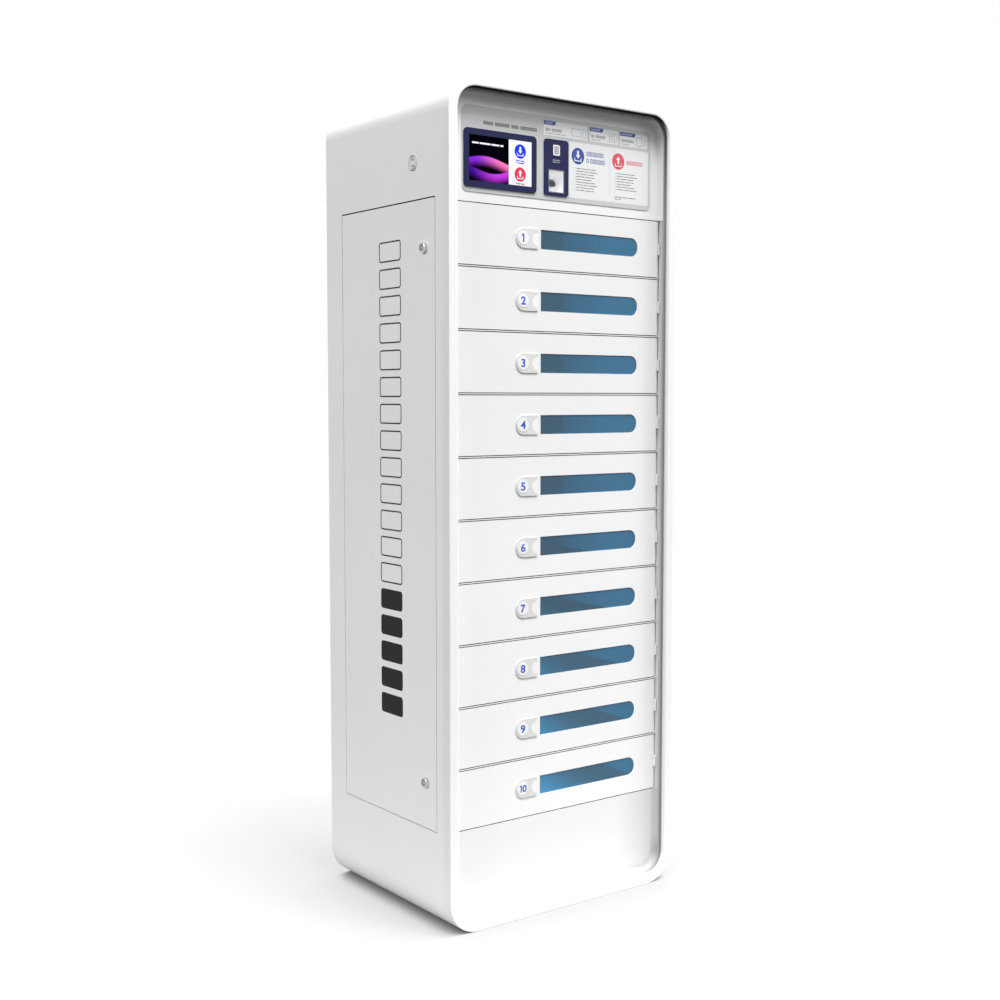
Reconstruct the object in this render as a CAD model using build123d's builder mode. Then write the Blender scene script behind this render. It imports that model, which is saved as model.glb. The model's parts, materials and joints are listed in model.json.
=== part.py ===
from build123d import *
import os

# Laptop charging locker: a floor-standing steel cabinet with ten charging bays behind
# hinged doors, a control head with a touch screen, and a locked service door in its left side.
# Millimetres. The origin is on the floor under the middle of the cabinet, +Z is up,
# and the front faces -Y.

# Cabinet envelope
cabinet_width = 670.0
cabinet_depth = 525.0
cabinet_height = 1900.0
corner_radius = 75.0
casing_sheet = 1.5
seam = 0.2

# Front rim: the raised frame round the recessed front
rim_width = 26.0
recess_depth = 28.0
rim_face_wall = 4.0
rim_inner_round = 6.0
rim_outer_round = 1.0
cove_radius = 12.0
cove_edge = 0.4

# Door stack
door_count = 10
kick_height = 201.5
head_height = 241.0
rail_height = 2.2
rail_depth = 20.0
stile_depth = 20.0
door_gap = 2.1
latch_side_gap = 2.0
door_depth = 18.0
door_sheet = 1.2

# Locker door window, number tag and latch strike
window_right_margin = 65.4
window_width = 297.0
window_height = 44.0
window_round = 20.0
window_pane = 2.0
window_margin = 7.0
tag_length = 62.0
tag_height = 45.4
tag_thickness = 1.8
tag_edge_round = 0.6
tag_to_window = 9.7
number_disc_radius = 15.5
number_disc_proud = 0.5
lamp_radius = 16.0
lamp_step = 0.5
tag_cell_margin = 4.2
strike_thickness = 4.0
strike_height = 14.0
strike_reach = 22.0
strike_hole_radius = 3.5
strike_hole_setback = 8.0

# Locker door hinges
hinge_axis_to_lip = 3.5
hinge_axis_proud = 1.0
hinge_barrel_radius = 3.0
hinge_pin_radius = 1.5
hinge_length = 26.0
hinge_door_knuckle = 9.6
hinge_leaf = 1.2
hinge_leaf_depth = 16.0
hinge_swing_clearance = 0.5
axial_clearance = 0.2
running_clearance = 0.05

# Bays
shelf_sheet = 1.2
latch_bay_width = 57.0
wiring_depth = 75.0

# Latch locks behind the doors
latch_width = 21.8
latch_height = 44.0
latch_depth = 50.0
latch_setback = 4.0
latch_slot_clearance = 2.0
latch_slot_depth = 24.0

# Socket modules at the back of the bays
socket_left_offset = 60.0
socket_length = 130.0
socket_height = 52.0
socket_depth = 26.0
socket_rise = 22.0
socket_plate_round = 3.0
mains_slot = (2.2, 7.0)
mains_slot_offset = 9.0
usb_size = (12.6, 5.0)
usb_tongue = (11.0, 1.8)
usb_c_size = (9.0, 3.2)
usb_spacing_x = 26.0
usb_spacing_z = 20.0
socket_hole_depth = 10.0

# Control head
overlay_margin_left = 28.0
overlay_margin_right = 34.0
overlay_margin_bottom = 21.5
overlay_margin_top = 32.0
overlay_corner = 14.0
overlay_thickness = 1.0
module_margin_left = 3.5
module_margin_bottom = 10.5
bezel_width = 202.0
bezel_height = 127.0
bezel_corner = 10.0
bezel_thickness = 2.0
screen_width = 174.0
screen_height = 99.5
screen_step = 1.0
screen_frame = 8.0
screen_module_depth = 38.0
module_clearance = 0.5
reader_gap = 22.0
reader_width = 71.5
reader_corner = 8.0
reader_window_width = 44.0
reader_window_height = 50.0
reader_window_bottom = 8.0
reader_pane = 1.5
reader_pane_lip = 1.5
reader_body_margin = 5.0
reader_body_depth = 48.0
reader_well_depth = 30.0
reader_well_taper = 12.0
scanner_width = 24.0
scanner_height = 16.0
scanner_depth = 12.0

# Service door in the left side
service_from_stile = 4.8
service_back_margin = 73.5
service_top_margin = 258.2
service_bottom_margin = 225.7
service_gap = 3.0
service_side_gap = 1.6
service_depth = 12.0
service_flange_depth = 12.0
service_axis_from_edge = 8.0
service_axis_from_face = 4.8
service_pin_radius = 2.5
service_pin_head_radius = 3.2
service_pin_head = 2.0
service_pin_reach = 5.0

# Cam locks on the service door
cam_lock_from_edge = 40.1
cam_lock_from_end = 108.6
lock_head_radius = 11.5
lock_head_proud = 8.5
lock_head_round = 2.0
lock_barrel_radius = 9.0
lock_core_radius = 6.0
lock_core_step = 0.6
lock_nut_radius = 13.0
lock_nut_thickness = 4.0
keyway = (1.6, 7.0)
keyway_depth = 5.0
cam_overlap = 1.8
cam_width = 14.0
cam_thickness = 2.5
cam_clearance = 0.8

# Key switch above the service door
key_switch_from_front = 139.7
key_switch_from_top = 177.0
key_switch_flange_radius = 17.5
key_switch_flange = 1.2
key_switch_barrel_radius = 12.0
key_switch_barrel = 26.0
key_switch_core_radius = 8.5

# Back panel, power supply and mains inlet
vent_slot = (70.0, 5.0)
vent_rows = 6
vent_columns = 4
vent_pitch = (90.0, 14.0)
vent_end_margin = 190.0
supply_size = (215.0, 115.0, 50.0)
inlet_from_right = 125.0
inlet_from_floor = 110.0
inlet_flange = (50.0, 28.0)
inlet_flange_thickness = 2.5
inlet_body = (28.0, 21.0)
inlet_body_depth = 26.0
inlet_well = (24.4, 16.8)
inlet_well_depth = 18.0
inlet_corner = 3.0
inlet_pin = (2.0, 4.0)
inlet_pin_pitch = 7.0

# Anchor holes in the base
anchor_hole_radius = 5.5
anchor_from_side = 125.0
anchor_from_end = 72.5

# Planes and edges worked out from the sizes above
front_y = -cabinet_depth / 2
back_y = cabinet_depth / 2
face_y = front_y + recess_depth
middle_z = cabinet_height / 2
left_x = -cabinet_width / 2
lip_x = cabinet_width / 2 - rim_width
lip_top_z = cabinet_height - rim_width
stack_bottom_z = rim_width + kick_height
stack_top_z = lip_top_z - head_height
door_pitch = (stack_top_z - stack_bottom_z + rail_height) / door_count
door_height = door_pitch - rail_height - 2 * door_gap
hinge_x = lip_x - hinge_axis_to_lip
hinge_y = face_y - hinge_axis_proud
door_left_x = -lip_x + latch_side_gap
door_right_x = hinge_x - hinge_barrel_radius - hinge_swing_clearance
door_width = door_right_x - door_left_x
door_middle_x = (door_left_x + door_right_x) / 2
window_left_x = door_right_x - window_right_margin - window_width
window_middle_x = window_left_x + window_width / 2
door_back_y = face_y + door_depth
rail_back_y = face_y + rail_depth
bay_left_x = -lip_x + latch_bay_width
bay_back_y = back_y - wiring_depth
latch_x = bay_left_x - shelf_sheet - latch_width / 2
latch_front_y = door_back_y + latch_setback
inlet_x = cabinet_width / 2 - inlet_from_right
inlet_z = inlet_from_floor
anchor_spacing_x = cabinet_width - 2 * anchor_from_side
anchor_spacing_y = cabinet_depth - 2 * anchor_from_end


def facing_front(y, x=0.0, z=0.0):
    """A sketch plane that looks out of the front, with X to the right and Z up."""
    return Plane(origin=(x, y, z), x_dir=(1, 0, 0), z_dir=(0, -1, 0))


def facing_right(x, y=0.0, z=0.0):
    """A sketch plane that looks towards +X, with Y to the right and Z up."""
    return Plane(origin=(x, y, z), x_dir=(0, 1, 0), z_dir=(1, 0, 0))


def rail_top_z(level):
    """Top of the rail under bay number level, counted from 0 at the bottom of the stack."""
    return stack_bottom_z + level * door_pitch


def door_middle_z(number):
    """Middle height of a door, counted from 1 at the top."""
    return rail_top_z(door_count - number) + door_gap + door_height / 2


def slab(x_range, y_range, z_range):
    """A plain rectangular plate or bar between three pairs of limits."""
    sizes = [high - low for low, high in (x_range, y_range, z_range)]
    centre = [(high + low) / 2 for low, high in (x_range, y_range, z_range)]
    with BuildPart() as piece:
        with Locations(tuple(centre)):
            Box(*sizes)
    return piece.part


def save(label, *solids):
    """Writes one piece, or one group of separate solids, under its own name."""
    shape = solids[0] if len(solids) == 1 else Compound(children=list(solids))
    shape.label = label
    export_step(shape, f"parts/{label}.step")


# Casing: a wrap of bent sheet round the cabinet, made as a top and a base with the corners
# in them and two flat sides between

def casing_band(z_low, z_high):
    """The stretch of the wrap between two heights, from the rim to the back."""
    with BuildPart() as band:
        with BuildSketch(facing_front(face_y, z=middle_z)):
            RectangleRounded(cabinet_width, cabinet_height, corner_radius)
            RectangleRounded(
                cabinet_width - 2 * casing_sheet,
                cabinet_height - 2 * casing_sheet,
                corner_radius - casing_sheet,
                mode=Mode.SUBTRACT,
            )
            with Locations((0, (z_low + z_high) / 2 - middle_z)):
                Rectangle(cabinet_width, z_high - z_low, mode=Mode.INTERSECT)
        extrude(amount=-(back_y - face_y))
    return band.part


def make_casing_base():
    """The lower end of the wrap, with four anchor holes in its floor."""
    blank = casing_band(0, corner_radius)
    with BuildPart() as base:
        add(blank)
        with BuildSketch(Plane.XY):
            with GridLocations(anchor_spacing_x, anchor_spacing_y, 2, 2):
                Circle(anchor_hole_radius)
        extrude(amount=casing_sheet, mode=Mode.SUBTRACT)
    return base.part


service_front_y = face_y + stile_depth + service_from_stile
service_back_y = back_y - service_back_margin
service_bottom_z = service_bottom_margin
service_top_z = cabinet_height - service_top_margin
service_middle_y = (service_front_y + service_back_y) / 2
service_middle_z = (service_bottom_z + service_top_z) / 2
service_opening_width = service_back_y - service_front_y
service_opening_height = service_top_z - service_bottom_z
service_axis_x = left_x + service_axis_from_face
service_axis_y = service_back_y - service_side_gap - service_axis_from_edge
key_switch_y = front_y + key_switch_from_front
key_switch_z = cabinet_height - key_switch_from_top


def make_casing_left():
    """The left side, with a flanged opening for the service door and the key switch hole."""
    with BuildPart() as side:
        with BuildSketch(facing_right(left_x, (face_y + back_y) / 2, middle_z)):
            Rectangle(back_y - face_y, cabinet_height - 2 * corner_radius)
        extrude(amount=casing_sheet)
        with BuildSketch(facing_right(left_x, service_middle_y, service_middle_z)):
            Rectangle(
                service_opening_width + 2 * casing_sheet,
                service_opening_height + 2 * casing_sheet,
            )
        extrude(amount=service_flange_depth)
        with BuildSketch(facing_right(left_x, service_middle_y, service_middle_z)):
            Rectangle(service_opening_width, service_opening_height)
        extrude(amount=service_flange_depth, mode=Mode.SUBTRACT)
        with BuildSketch(facing_right(left_x, key_switch_y, key_switch_z)):
            Circle(key_switch_barrel_radius + running_clearance)
        extrude(amount=casing_sheet, mode=Mode.SUBTRACT)
        for flange_z in (service_bottom_z - casing_sheet, service_top_z):
            with BuildSketch(Plane((service_axis_x, service_axis_y, flange_z))):
                Circle(service_pin_radius + running_clearance)
            extrude(amount=casing_sheet, mode=Mode.SUBTRACT)
    return side.part


def make_rear_panel():
    """The back cover, with vent slots near each end and a cut-out for the mains inlet."""
    inset = casing_sheet + seam
    with BuildPart() as panel:
        with BuildSketch(facing_front(back_y - casing_sheet, z=middle_z)):
            RectangleRounded(
                cabinet_width - 2 * inset, cabinet_height - 2 * inset, corner_radius - inset
            )
            for vent_z in (vent_end_margin, cabinet_height - vent_end_margin):
                with Locations((0, vent_z - middle_z)):
                    with GridLocations(*vent_pitch, vent_columns, vent_rows):
                        SlotOverall(*vent_slot, mode=Mode.SUBTRACT)
            with Locations((inlet_x, inlet_z - middle_z)):
                Rectangle(
                    inlet_body[0] + 2 * seam, inlet_body[1] + 2 * seam, mode=Mode.SUBTRACT
                )
        extrude(amount=-casing_sheet)
    return panel.part


def make_front_rim():
    """The raised rounded frame: a hollow ring, open behind, with a soft inner edge."""
    with BuildPart() as rim:
        with BuildSketch(facing_front(front_y, z=middle_z)):
            RectangleRounded(cabinet_width, cabinet_height, corner_radius)
            RectangleRounded(
                cabinet_width - 2 * rim_width,
                cabinet_height - 2 * rim_width,
                corner_radius - rim_width,
                mode=Mode.SUBTRACT,
            )
        extrude(amount=-recess_depth)
        rim_face = rim.faces().sort_by(Axis.Y)[0]
        fillet(rim_face.inner_wires()[0].edges(), rim_inner_round)
        rim_face = rim.faces().sort_by(Axis.Y)[0]
        fillet(rim_face.outer_wire().edges(), rim_outer_round)
        inner_wall = rim_width - casing_sheet
        with BuildSketch(facing_front(face_y, z=middle_z)):
            RectangleRounded(
                cabinet_width - 2 * casing_sheet,
                cabinet_height - 2 * casing_sheet,
                corner_radius - casing_sheet,
            )
            RectangleRounded(
                cabinet_width - 2 * inner_wall,
                cabinet_height - 2 * inner_wall,
                corner_radius - inner_wall,
                mode=Mode.SUBTRACT,
            )
        extrude(amount=recess_depth - rim_face_wall, mode=Mode.SUBTRACT)
    return rim.part


def coved_panel(z_low, z_high):
    """A front panel that fills the recess between two heights and curves up to the lip."""
    panel_inset = rim_width + seam
    pocket_inset = panel_inset + cove_edge
    panel_middle = (z_low + z_high) / 2 - middle_z
    with BuildPart() as panel:
        with BuildSketch(facing_front(face_y - cove_radius, z=middle_z)):
            RectangleRounded(
                cabinet_width - 2 * panel_inset,
                cabinet_height - 2 * panel_inset,
                corner_radius - panel_inset,
            )
            with Locations((0, panel_middle)):
                Rectangle(cabinet_width, z_high - z_low, mode=Mode.INTERSECT)
        extrude(amount=-(cove_radius + casing_sheet))
        with BuildSketch(facing_front(face_y, z=middle_z)):
            RectangleRounded(
                cabinet_width - 2 * pocket_inset,
                cabinet_height - 2 * pocket_inset,
                corner_radius - pocket_inset,
            )
            with Locations((0, panel_middle)):
                Rectangle(cabinet_width, z_high - z_low, mode=Mode.INTERSECT)
        extrude(amount=cove_radius, mode=Mode.SUBTRACT)
        floor_edges = panel.edges().filter_by_position(Axis.Y, face_y - 0.01, face_y + 0.01)
        cove_edges = [
            edge for edge in floor_edges
            if z_low + 0.01 < edge.center().Z < z_high - 0.01
        ]
        fillet(cove_edges, cove_radius - cove_edge)
    return panel.part


def make_kick_panel():
    """The plain panel under the doors."""
    return coved_panel(rim_width + seam, stack_bottom_z)


overlay_left_x = -lip_x + overlay_margin_left
overlay_right_x = lip_x - overlay_margin_right
overlay_bottom_z = stack_top_z + overlay_margin_bottom
overlay_top_z = lip_top_z - overlay_margin_top
overlay_front_y = face_y - overlay_thickness
bezel_middle_x = overlay_left_x + module_margin_left + bezel_width / 2
module_middle_z = overlay_bottom_z + module_margin_bottom + bezel_height / 2
reader_middle_x = bezel_middle_x + bezel_width / 2 + reader_gap + reader_width / 2
reader_window_z = (
    module_middle_z - bezel_height / 2 + reader_window_bottom + reader_window_height / 2
)
screen_module_width = screen_width + 2 * screen_frame
screen_module_height = screen_height + 2 * screen_frame
reader_body_width = reader_width - 2 * reader_body_margin
reader_body_height = bezel_height - 2 * reader_body_margin


def draw_module_openings(mode):
    """Draws the cut-outs for the screen and the reader into the open sketch."""
    with Locations((bezel_middle_x, module_middle_z)):
        Rectangle(
            screen_module_width + 2 * module_clearance,
            screen_module_height + 2 * module_clearance,
            mode=mode,
        )
    with Locations((reader_middle_x, module_middle_z)):
        Rectangle(
            reader_body_width + 2 * module_clearance,
            reader_body_height + 2 * module_clearance,
            mode=mode,
        )


def make_control_fascia():
    """The head panel over the doors, cut out for the screen and the reader."""
    blank = coved_panel(stack_top_z, lip_top_z - seam)
    with BuildPart() as panel:
        add(blank)
        with BuildSketch(facing_front(face_y)):
            draw_module_openings(Mode.ADD)
        extrude(amount=-casing_sheet, mode=Mode.SUBTRACT)
    return panel.part


def make_fascia_overlay():
    """The thin printed plate on the head panel."""
    with BuildPart() as overlay:
        with BuildSketch(facing_front(face_y)):
            with Locations(
                (
                    (overlay_left_x + overlay_right_x) / 2,
                    (overlay_bottom_z + overlay_top_z) / 2,
                )
            ):
                RectangleRounded(
                    overlay_right_x - overlay_left_x,
                    overlay_top_z - overlay_bottom_z,
                    overlay_corner,
                )
            draw_module_openings(Mode.SUBTRACT)
        extrude(amount=overlay_thickness)
    return overlay.part


def make_display_bezel():
    """The dark frame round the touch screen, with rounded corners."""
    with BuildPart() as bezel:
        with BuildSketch(facing_front(overlay_front_y, bezel_middle_x, module_middle_z)):
            RectangleRounded(bezel_width, bezel_height, bezel_corner)
            Rectangle(screen_width, screen_height, mode=Mode.SUBTRACT)
        extrude(amount=bezel_thickness)
    return bezel.part


def make_touch_screen():
    """The all-in-one display: a glass face in the bezel and its electronics housing behind."""
    with BuildPart() as screen:
        with BuildSketch(facing_front(overlay_front_y, bezel_middle_x, module_middle_z)):
            Rectangle(screen_module_width, screen_module_height)
        extrude(amount=-screen_module_depth)
        with BuildSketch(facing_front(overlay_front_y, bezel_middle_x, module_middle_z)):
            Rectangle(screen_width - 2 * seam, screen_height - 2 * seam)
        extrude(amount=bezel_thickness - screen_step)
    return screen.part


def make_reader_housing():
    """The reader's dark front plate and its body, with a tapered well behind the window."""
    plate_front_y = overlay_front_y - bezel_thickness
    pane_back_y = plate_front_y + reader_pane
    with BuildPart() as housing:
        with BuildSketch(facing_front(overlay_front_y, reader_middle_x, module_middle_z)):
            RectangleRounded(reader_width, bezel_height, reader_corner)
        extrude(amount=bezel_thickness)
        with BuildSketch(facing_front(overlay_front_y, reader_middle_x, module_middle_z)):
            Rectangle(reader_body_width, reader_body_height)
        extrude(amount=-reader_body_depth)
        with BuildSketch(facing_front(plate_front_y, reader_middle_x, reader_window_z)):
            Rectangle(reader_window_width, reader_window_height)
        extrude(amount=-reader_pane, mode=Mode.SUBTRACT)
        with BuildSketch(facing_front(pane_back_y, reader_middle_x, reader_window_z)):
            Rectangle(
                reader_window_width - 2 * reader_pane_lip,
                reader_window_height - 2 * reader_pane_lip,
            )
        with BuildSketch(
            facing_front(pane_back_y + reader_well_depth, reader_middle_x, reader_window_z)
        ):
            Rectangle(
                reader_window_width - 2 * reader_pane_lip - reader_well_taper,
                reader_window_height - 2 * reader_pane_lip - reader_well_taper,
            )
        loft(mode=Mode.SUBTRACT)
    return housing.part


def make_reader_window():
    """The clear pane over the reader's well."""
    plate_front_y = overlay_front_y - bezel_thickness
    with BuildPart() as pane:
        with BuildSketch(facing_front(plate_front_y, reader_middle_x, reader_window_z)):
            Rectangle(reader_window_width - 2 * seam, reader_window_height - 2 * seam)
        extrude(amount=-reader_pane)
    return pane.part


def make_reader_scanner():
    """The dark scanning head at the bottom of the well."""
    well_back_y = overlay_front_y - bezel_thickness + reader_pane + reader_well_depth
    with BuildPart() as scanner:
        with BuildSketch(facing_front(well_back_y, reader_middle_x, reader_window_z)):
            Rectangle(scanner_width, scanner_height)
        extrude(amount=scanner_depth)
        scanner_front = scanner.faces().sort_by(Axis.Y)[0]
        chamfer(scanner_front.edges().sort_by(Axis.Z)[-1], scanner_height / 2)
    return scanner.part


# Door stack: frame, bays, doors and what is fixed to them

def make_door_frame():
    """Two stiles behind the rim and a rail over and under each door."""
    stile_x = (lip_x, cabinet_width / 2 - casing_sheet)
    stile_y = (face_y, face_y + stile_depth)
    stile_z = (corner_radius, cabinet_height - corner_radius)
    bars = [
        slab(stile_x, stile_y, stile_z),
        slab((-stile_x[1], -stile_x[0]), stile_y, stile_z),
    ]
    for level in range(door_count + 1):
        is_end = level in (0, door_count)
        rail_front_y = face_y + casing_sheet if is_end else face_y
        low_z = rail_top_z(level) - rail_height
        bars.append(
            slab((-lip_x, lip_x), (rail_front_y, rail_back_y), (low_z, low_z + rail_height))
        )
    return bars


def make_bay_side_walls():
    """The wall on the latch side stands on the floor, the other hangs on the right stile."""
    wall_top_z = rail_top_z(door_count)
    wall_y = (rail_back_y, bay_back_y)
    return [
        slab((bay_left_x - shelf_sheet, bay_left_x), wall_y, (casing_sheet, wall_top_z)),
        slab((lip_x - shelf_sheet, lip_x), wall_y, (corner_radius, wall_top_z)),
    ]


def make_bay_shelves():
    """One plate under each bay, and one over the top bay."""
    return [
        slab(
            (bay_left_x, lip_x - shelf_sheet),
            (rail_back_y, bay_back_y),
            (rail_top_z(level) - shelf_sheet, rail_top_z(level)),
        )
        for level in range(door_count + 1)
    ]


def make_bay_back_wall():
    """One sheet across the back of all the bays."""
    return slab(
        (bay_left_x - shelf_sheet, lip_x),
        (bay_back_y, bay_back_y + shelf_sheet),
        (rail_top_z(0) - shelf_sheet, rail_top_z(door_count)),
    )


def make_locker_door(number):
    """A folded steel door with a window slot, a latch strike and its hinge knuckle."""
    middle = door_middle_z(number)
    strike_end_y = door_back_y + strike_reach
    with BuildPart() as door:
        with BuildSketch(facing_front(face_y, door_middle_x, middle)):
            Rectangle(door_width, door_height)
        extrude(amount=-door_depth)
        with BuildSketch(facing_front(face_y + door_sheet, door_middle_x, middle)):
            Rectangle(door_width - 2 * door_sheet, door_height - 2 * door_sheet)
        extrude(amount=-(door_depth - door_sheet), mode=Mode.SUBTRACT)
        with BuildSketch(facing_front(face_y, window_middle_x, middle)) as slot:
            Rectangle(window_width, window_height)
            fillet(slot.vertices().group_by(Axis.X)[-1], window_round)
        extrude(amount=-door_sheet, mode=Mode.SUBTRACT)
        with BuildSketch(facing_right(latch_x - strike_thickness / 2, z=middle)):
            with Locations(((face_y + door_sheet / 2 + strike_end_y) / 2, 0)):
                Rectangle(strike_end_y - face_y - door_sheet / 2, strike_height)
            with Locations((strike_end_y - strike_hole_setback, 0)):
                Circle(strike_hole_radius, mode=Mode.SUBTRACT)
        extrude(amount=strike_thickness)
        with BuildSketch(Plane((hinge_x, hinge_y, middle - hinge_door_knuckle / 2))):
            Circle(hinge_barrel_radius)
            arm_end_x = door_right_x - hinge_x
            with Locations((arm_end_x / 2, hinge_axis_proud + hinge_leaf / 2)):
                Rectangle(-arm_end_x, hinge_leaf)
            with Locations((arm_end_x + hinge_leaf / 4, hinge_axis_proud + hinge_leaf_depth / 2)):
                Rectangle(hinge_leaf / 2, hinge_leaf_depth)
            Circle(hinge_pin_radius + running_clearance, mode=Mode.SUBTRACT)
        extrude(amount=hinge_door_knuckle)
    return door.part


def make_window(number):
    """The tinted pane, fixed behind the slot with a margin all round."""
    middle = door_middle_z(number)
    with BuildPart() as pane:
        with BuildSketch(facing_front(face_y + door_sheet, window_middle_x, middle)):
            Rectangle(window_width + 2 * window_margin, window_height + 2 * window_margin)
        extrude(amount=-window_pane)
    return pane.part


def make_tag(number):
    """The number tag: a plate with one round end, a number disc and a half-round lamp."""
    middle = door_middle_z(number)
    right_x = window_left_x - tag_to_window
    tag_middle_x = right_x - tag_length / 2
    disc_x = right_x - tag_length + tag_cell_margin + number_disc_radius
    tag_front_y = face_y - tag_thickness
    with BuildPart() as plate:
        with BuildSketch(facing_front(face_y, tag_middle_x, middle)) as outline:
            Rectangle(tag_length, tag_height)
            fillet(outline.vertices().group_by(Axis.X)[0], tag_height / 2 - seam)
        extrude(amount=tag_thickness)
        fillet(plate.faces().sort_by(Axis.Y)[0].outer_wire().edges(), tag_edge_round)
        with BuildSketch(facing_front(face_y, right_x, middle)):
            Circle(lamp_radius + running_clearance)
        extrude(amount=tag_thickness, mode=Mode.SUBTRACT)
    with BuildPart() as disc:
        with BuildSketch(facing_front(tag_front_y, disc_x, middle)):
            Circle(number_disc_radius)
        extrude(amount=number_disc_proud)
    with BuildPart() as lamp:
        with BuildSketch(facing_front(face_y, right_x, middle)):
            Circle(lamp_radius)
            with Locations((lamp_radius / 2, 0)):
                Rectangle(lamp_radius, 2 * lamp_radius, mode=Mode.SUBTRACT)
        extrude(amount=tag_thickness - lamp_step)
    return [plate.part, disc.part, lamp.part]


def make_frame_hinge(number):
    """The frame half of a hinge: a leaf on the right stile with a knuckle at each end."""
    middle = door_middle_z(number)
    arm_y = hinge_barrel_radius + hinge_swing_clearance
    knuckle = (hinge_length - hinge_door_knuckle) / 2 - axial_clearance
    leaf_back = hinge_axis_proud + hinge_leaf_depth
    with BuildPart() as hinge:
        with BuildSketch(Plane((hinge_x, hinge_y, middle - hinge_length / 2))):
            with Locations((hinge_axis_to_lip - hinge_leaf / 2, (arm_y + leaf_back) / 2)):
                Rectangle(hinge_leaf, leaf_back - arm_y)
        extrude(amount=hinge_length)
        for low_z in (middle - hinge_length / 2, middle + hinge_length / 2 - knuckle):
            with BuildSketch(Plane((hinge_x, hinge_y, low_z))):
                Circle(hinge_barrel_radius)
                with Locations((hinge_axis_to_lip - hinge_leaf / 2, arm_y / 2)):
                    Rectangle(hinge_leaf, arm_y)
                Circle(hinge_pin_radius + running_clearance, mode=Mode.SUBTRACT)
            extrude(amount=knuckle)
    return hinge.part


def make_hinge_pin(number):
    """A plain pin through one hinge."""
    low_z = door_middle_z(number) - hinge_length / 2
    with BuildPart() as pin:
        with BuildSketch(Plane((hinge_x, hinge_y, low_z))):
            Circle(hinge_pin_radius)
        extrude(amount=hinge_length)
    return pin.part


def make_latch_lock(number):
    """An electric lock body on the latch-side wall, with a slot for the strike."""
    middle = door_middle_z(number)
    slot_width = strike_thickness + 2 * latch_slot_clearance
    slot_height = strike_height + 2 * latch_slot_clearance
    with BuildPart() as lock:
        with BuildSketch(facing_front(latch_front_y, latch_x, middle)):
            Rectangle(latch_width, latch_height)
        extrude(amount=-latch_depth)
        with BuildSketch(facing_front(latch_front_y, latch_x, middle)):
            Rectangle(slot_width, slot_height)
        extrude(amount=-latch_slot_depth, mode=Mode.SUBTRACT)
    return lock.part


def make_socket_module(number):
    """A charging module on the bay's back wall: a flat mains socket and four data sockets."""
    middle_x = bay_left_x + socket_left_offset + socket_length / 2
    middle = rail_top_z(door_count - number) + socket_rise + socket_height / 2
    module_front_y = bay_back_y - socket_depth
    mains_x = middle_x - socket_length / 4
    data_x = middle_x + socket_length / 4
    with BuildPart() as module:
        with BuildSketch(facing_front(bay_back_y, middle_x, middle)):
            RectangleRounded(socket_length, socket_height, socket_plate_round)
        extrude(amount=socket_depth)
        with BuildSketch(facing_front(module_front_y, mains_x, middle)):
            with Locations(
                (-mains_slot_offset, 0), (mains_slot_offset, 0), (0, mains_slot_offset)
            ):
                Rectangle(*mains_slot)
        extrude(amount=-socket_hole_depth, mode=Mode.SUBTRACT)
        with BuildSketch(facing_front(module_front_y, data_x, middle)):
            with Locations((0, usb_spacing_z / 2)):
                with GridLocations(usb_spacing_x, usb_spacing_z, 2, 1):
                    Rectangle(*usb_size)
                    Rectangle(*usb_tongue, mode=Mode.SUBTRACT)
            with Locations((0, -usb_spacing_z / 2)):
                with GridLocations(usb_spacing_x, usb_spacing_z, 2, 1):
                    RectangleRounded(*usb_c_size, usb_c_size[1] / 2 - seam)
        extrude(amount=-socket_hole_depth, mode=Mode.SUBTRACT)
    return module.part


# Service door, its pivots and its cam locks

service_door_width = service_opening_width - 2 * service_side_gap
service_door_height = service_opening_height - 2 * service_gap
cam_lock_y = service_front_y + service_side_gap + cam_lock_from_edge
upper_lock_z = service_top_z - cam_lock_from_end
lower_lock_z = service_bottom_z + cam_lock_from_end
cam_front_x = left_x + service_flange_depth + cam_clearance
cam_reach = cam_lock_from_edge + service_side_gap + casing_sheet + cam_overlap


def make_service_door():
    """A shallow folded door, drilled for the cam locks and for its two pivot pins."""
    with BuildPart() as door:
        with BuildSketch(facing_right(left_x, service_middle_y, service_middle_z)):
            Rectangle(service_door_width, service_door_height)
        extrude(amount=service_depth)
        with BuildSketch(facing_right(left_x + casing_sheet, service_middle_y, service_middle_z)):
            Rectangle(
                service_door_width - 2 * casing_sheet, service_door_height - 2 * casing_sheet
            )
        extrude(amount=service_depth - casing_sheet, mode=Mode.SUBTRACT)
        with BuildSketch(facing_right(left_x)):
            with Locations((cam_lock_y, upper_lock_z), (cam_lock_y, lower_lock_z)):
                Circle(lock_barrel_radius + running_clearance)
        extrude(amount=casing_sheet, mode=Mode.SUBTRACT)
        door_bottom_z = service_bottom_z + service_gap
        door_top_z = service_top_z - service_gap
        for low_z in (door_bottom_z, door_top_z - casing_sheet):
            with BuildSketch(Plane((service_axis_x, service_axis_y, low_z))):
                Circle(service_pin_radius + running_clearance)
            extrude(amount=casing_sheet, mode=Mode.SUBTRACT)
    return door.part


def make_service_pin(is_upper):
    """A headed pivot pin through the opening's flange and the door's folded edge."""
    shank = casing_sheet + service_gap + service_pin_reach
    seat_z = service_top_z + casing_sheet if is_upper else service_bottom_z - casing_sheet
    inward = -1 if is_upper else 1
    with BuildPart() as pin:
        with BuildSketch(Plane((service_axis_x, service_axis_y, seat_z))):
            Circle(service_pin_radius)
        extrude(amount=inward * shank)
        with BuildSketch(Plane((service_axis_x, service_axis_y, seat_z))):
            Circle(service_pin_head_radius)
        extrude(amount=-inward * service_pin_head)
    return pin.part


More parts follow.
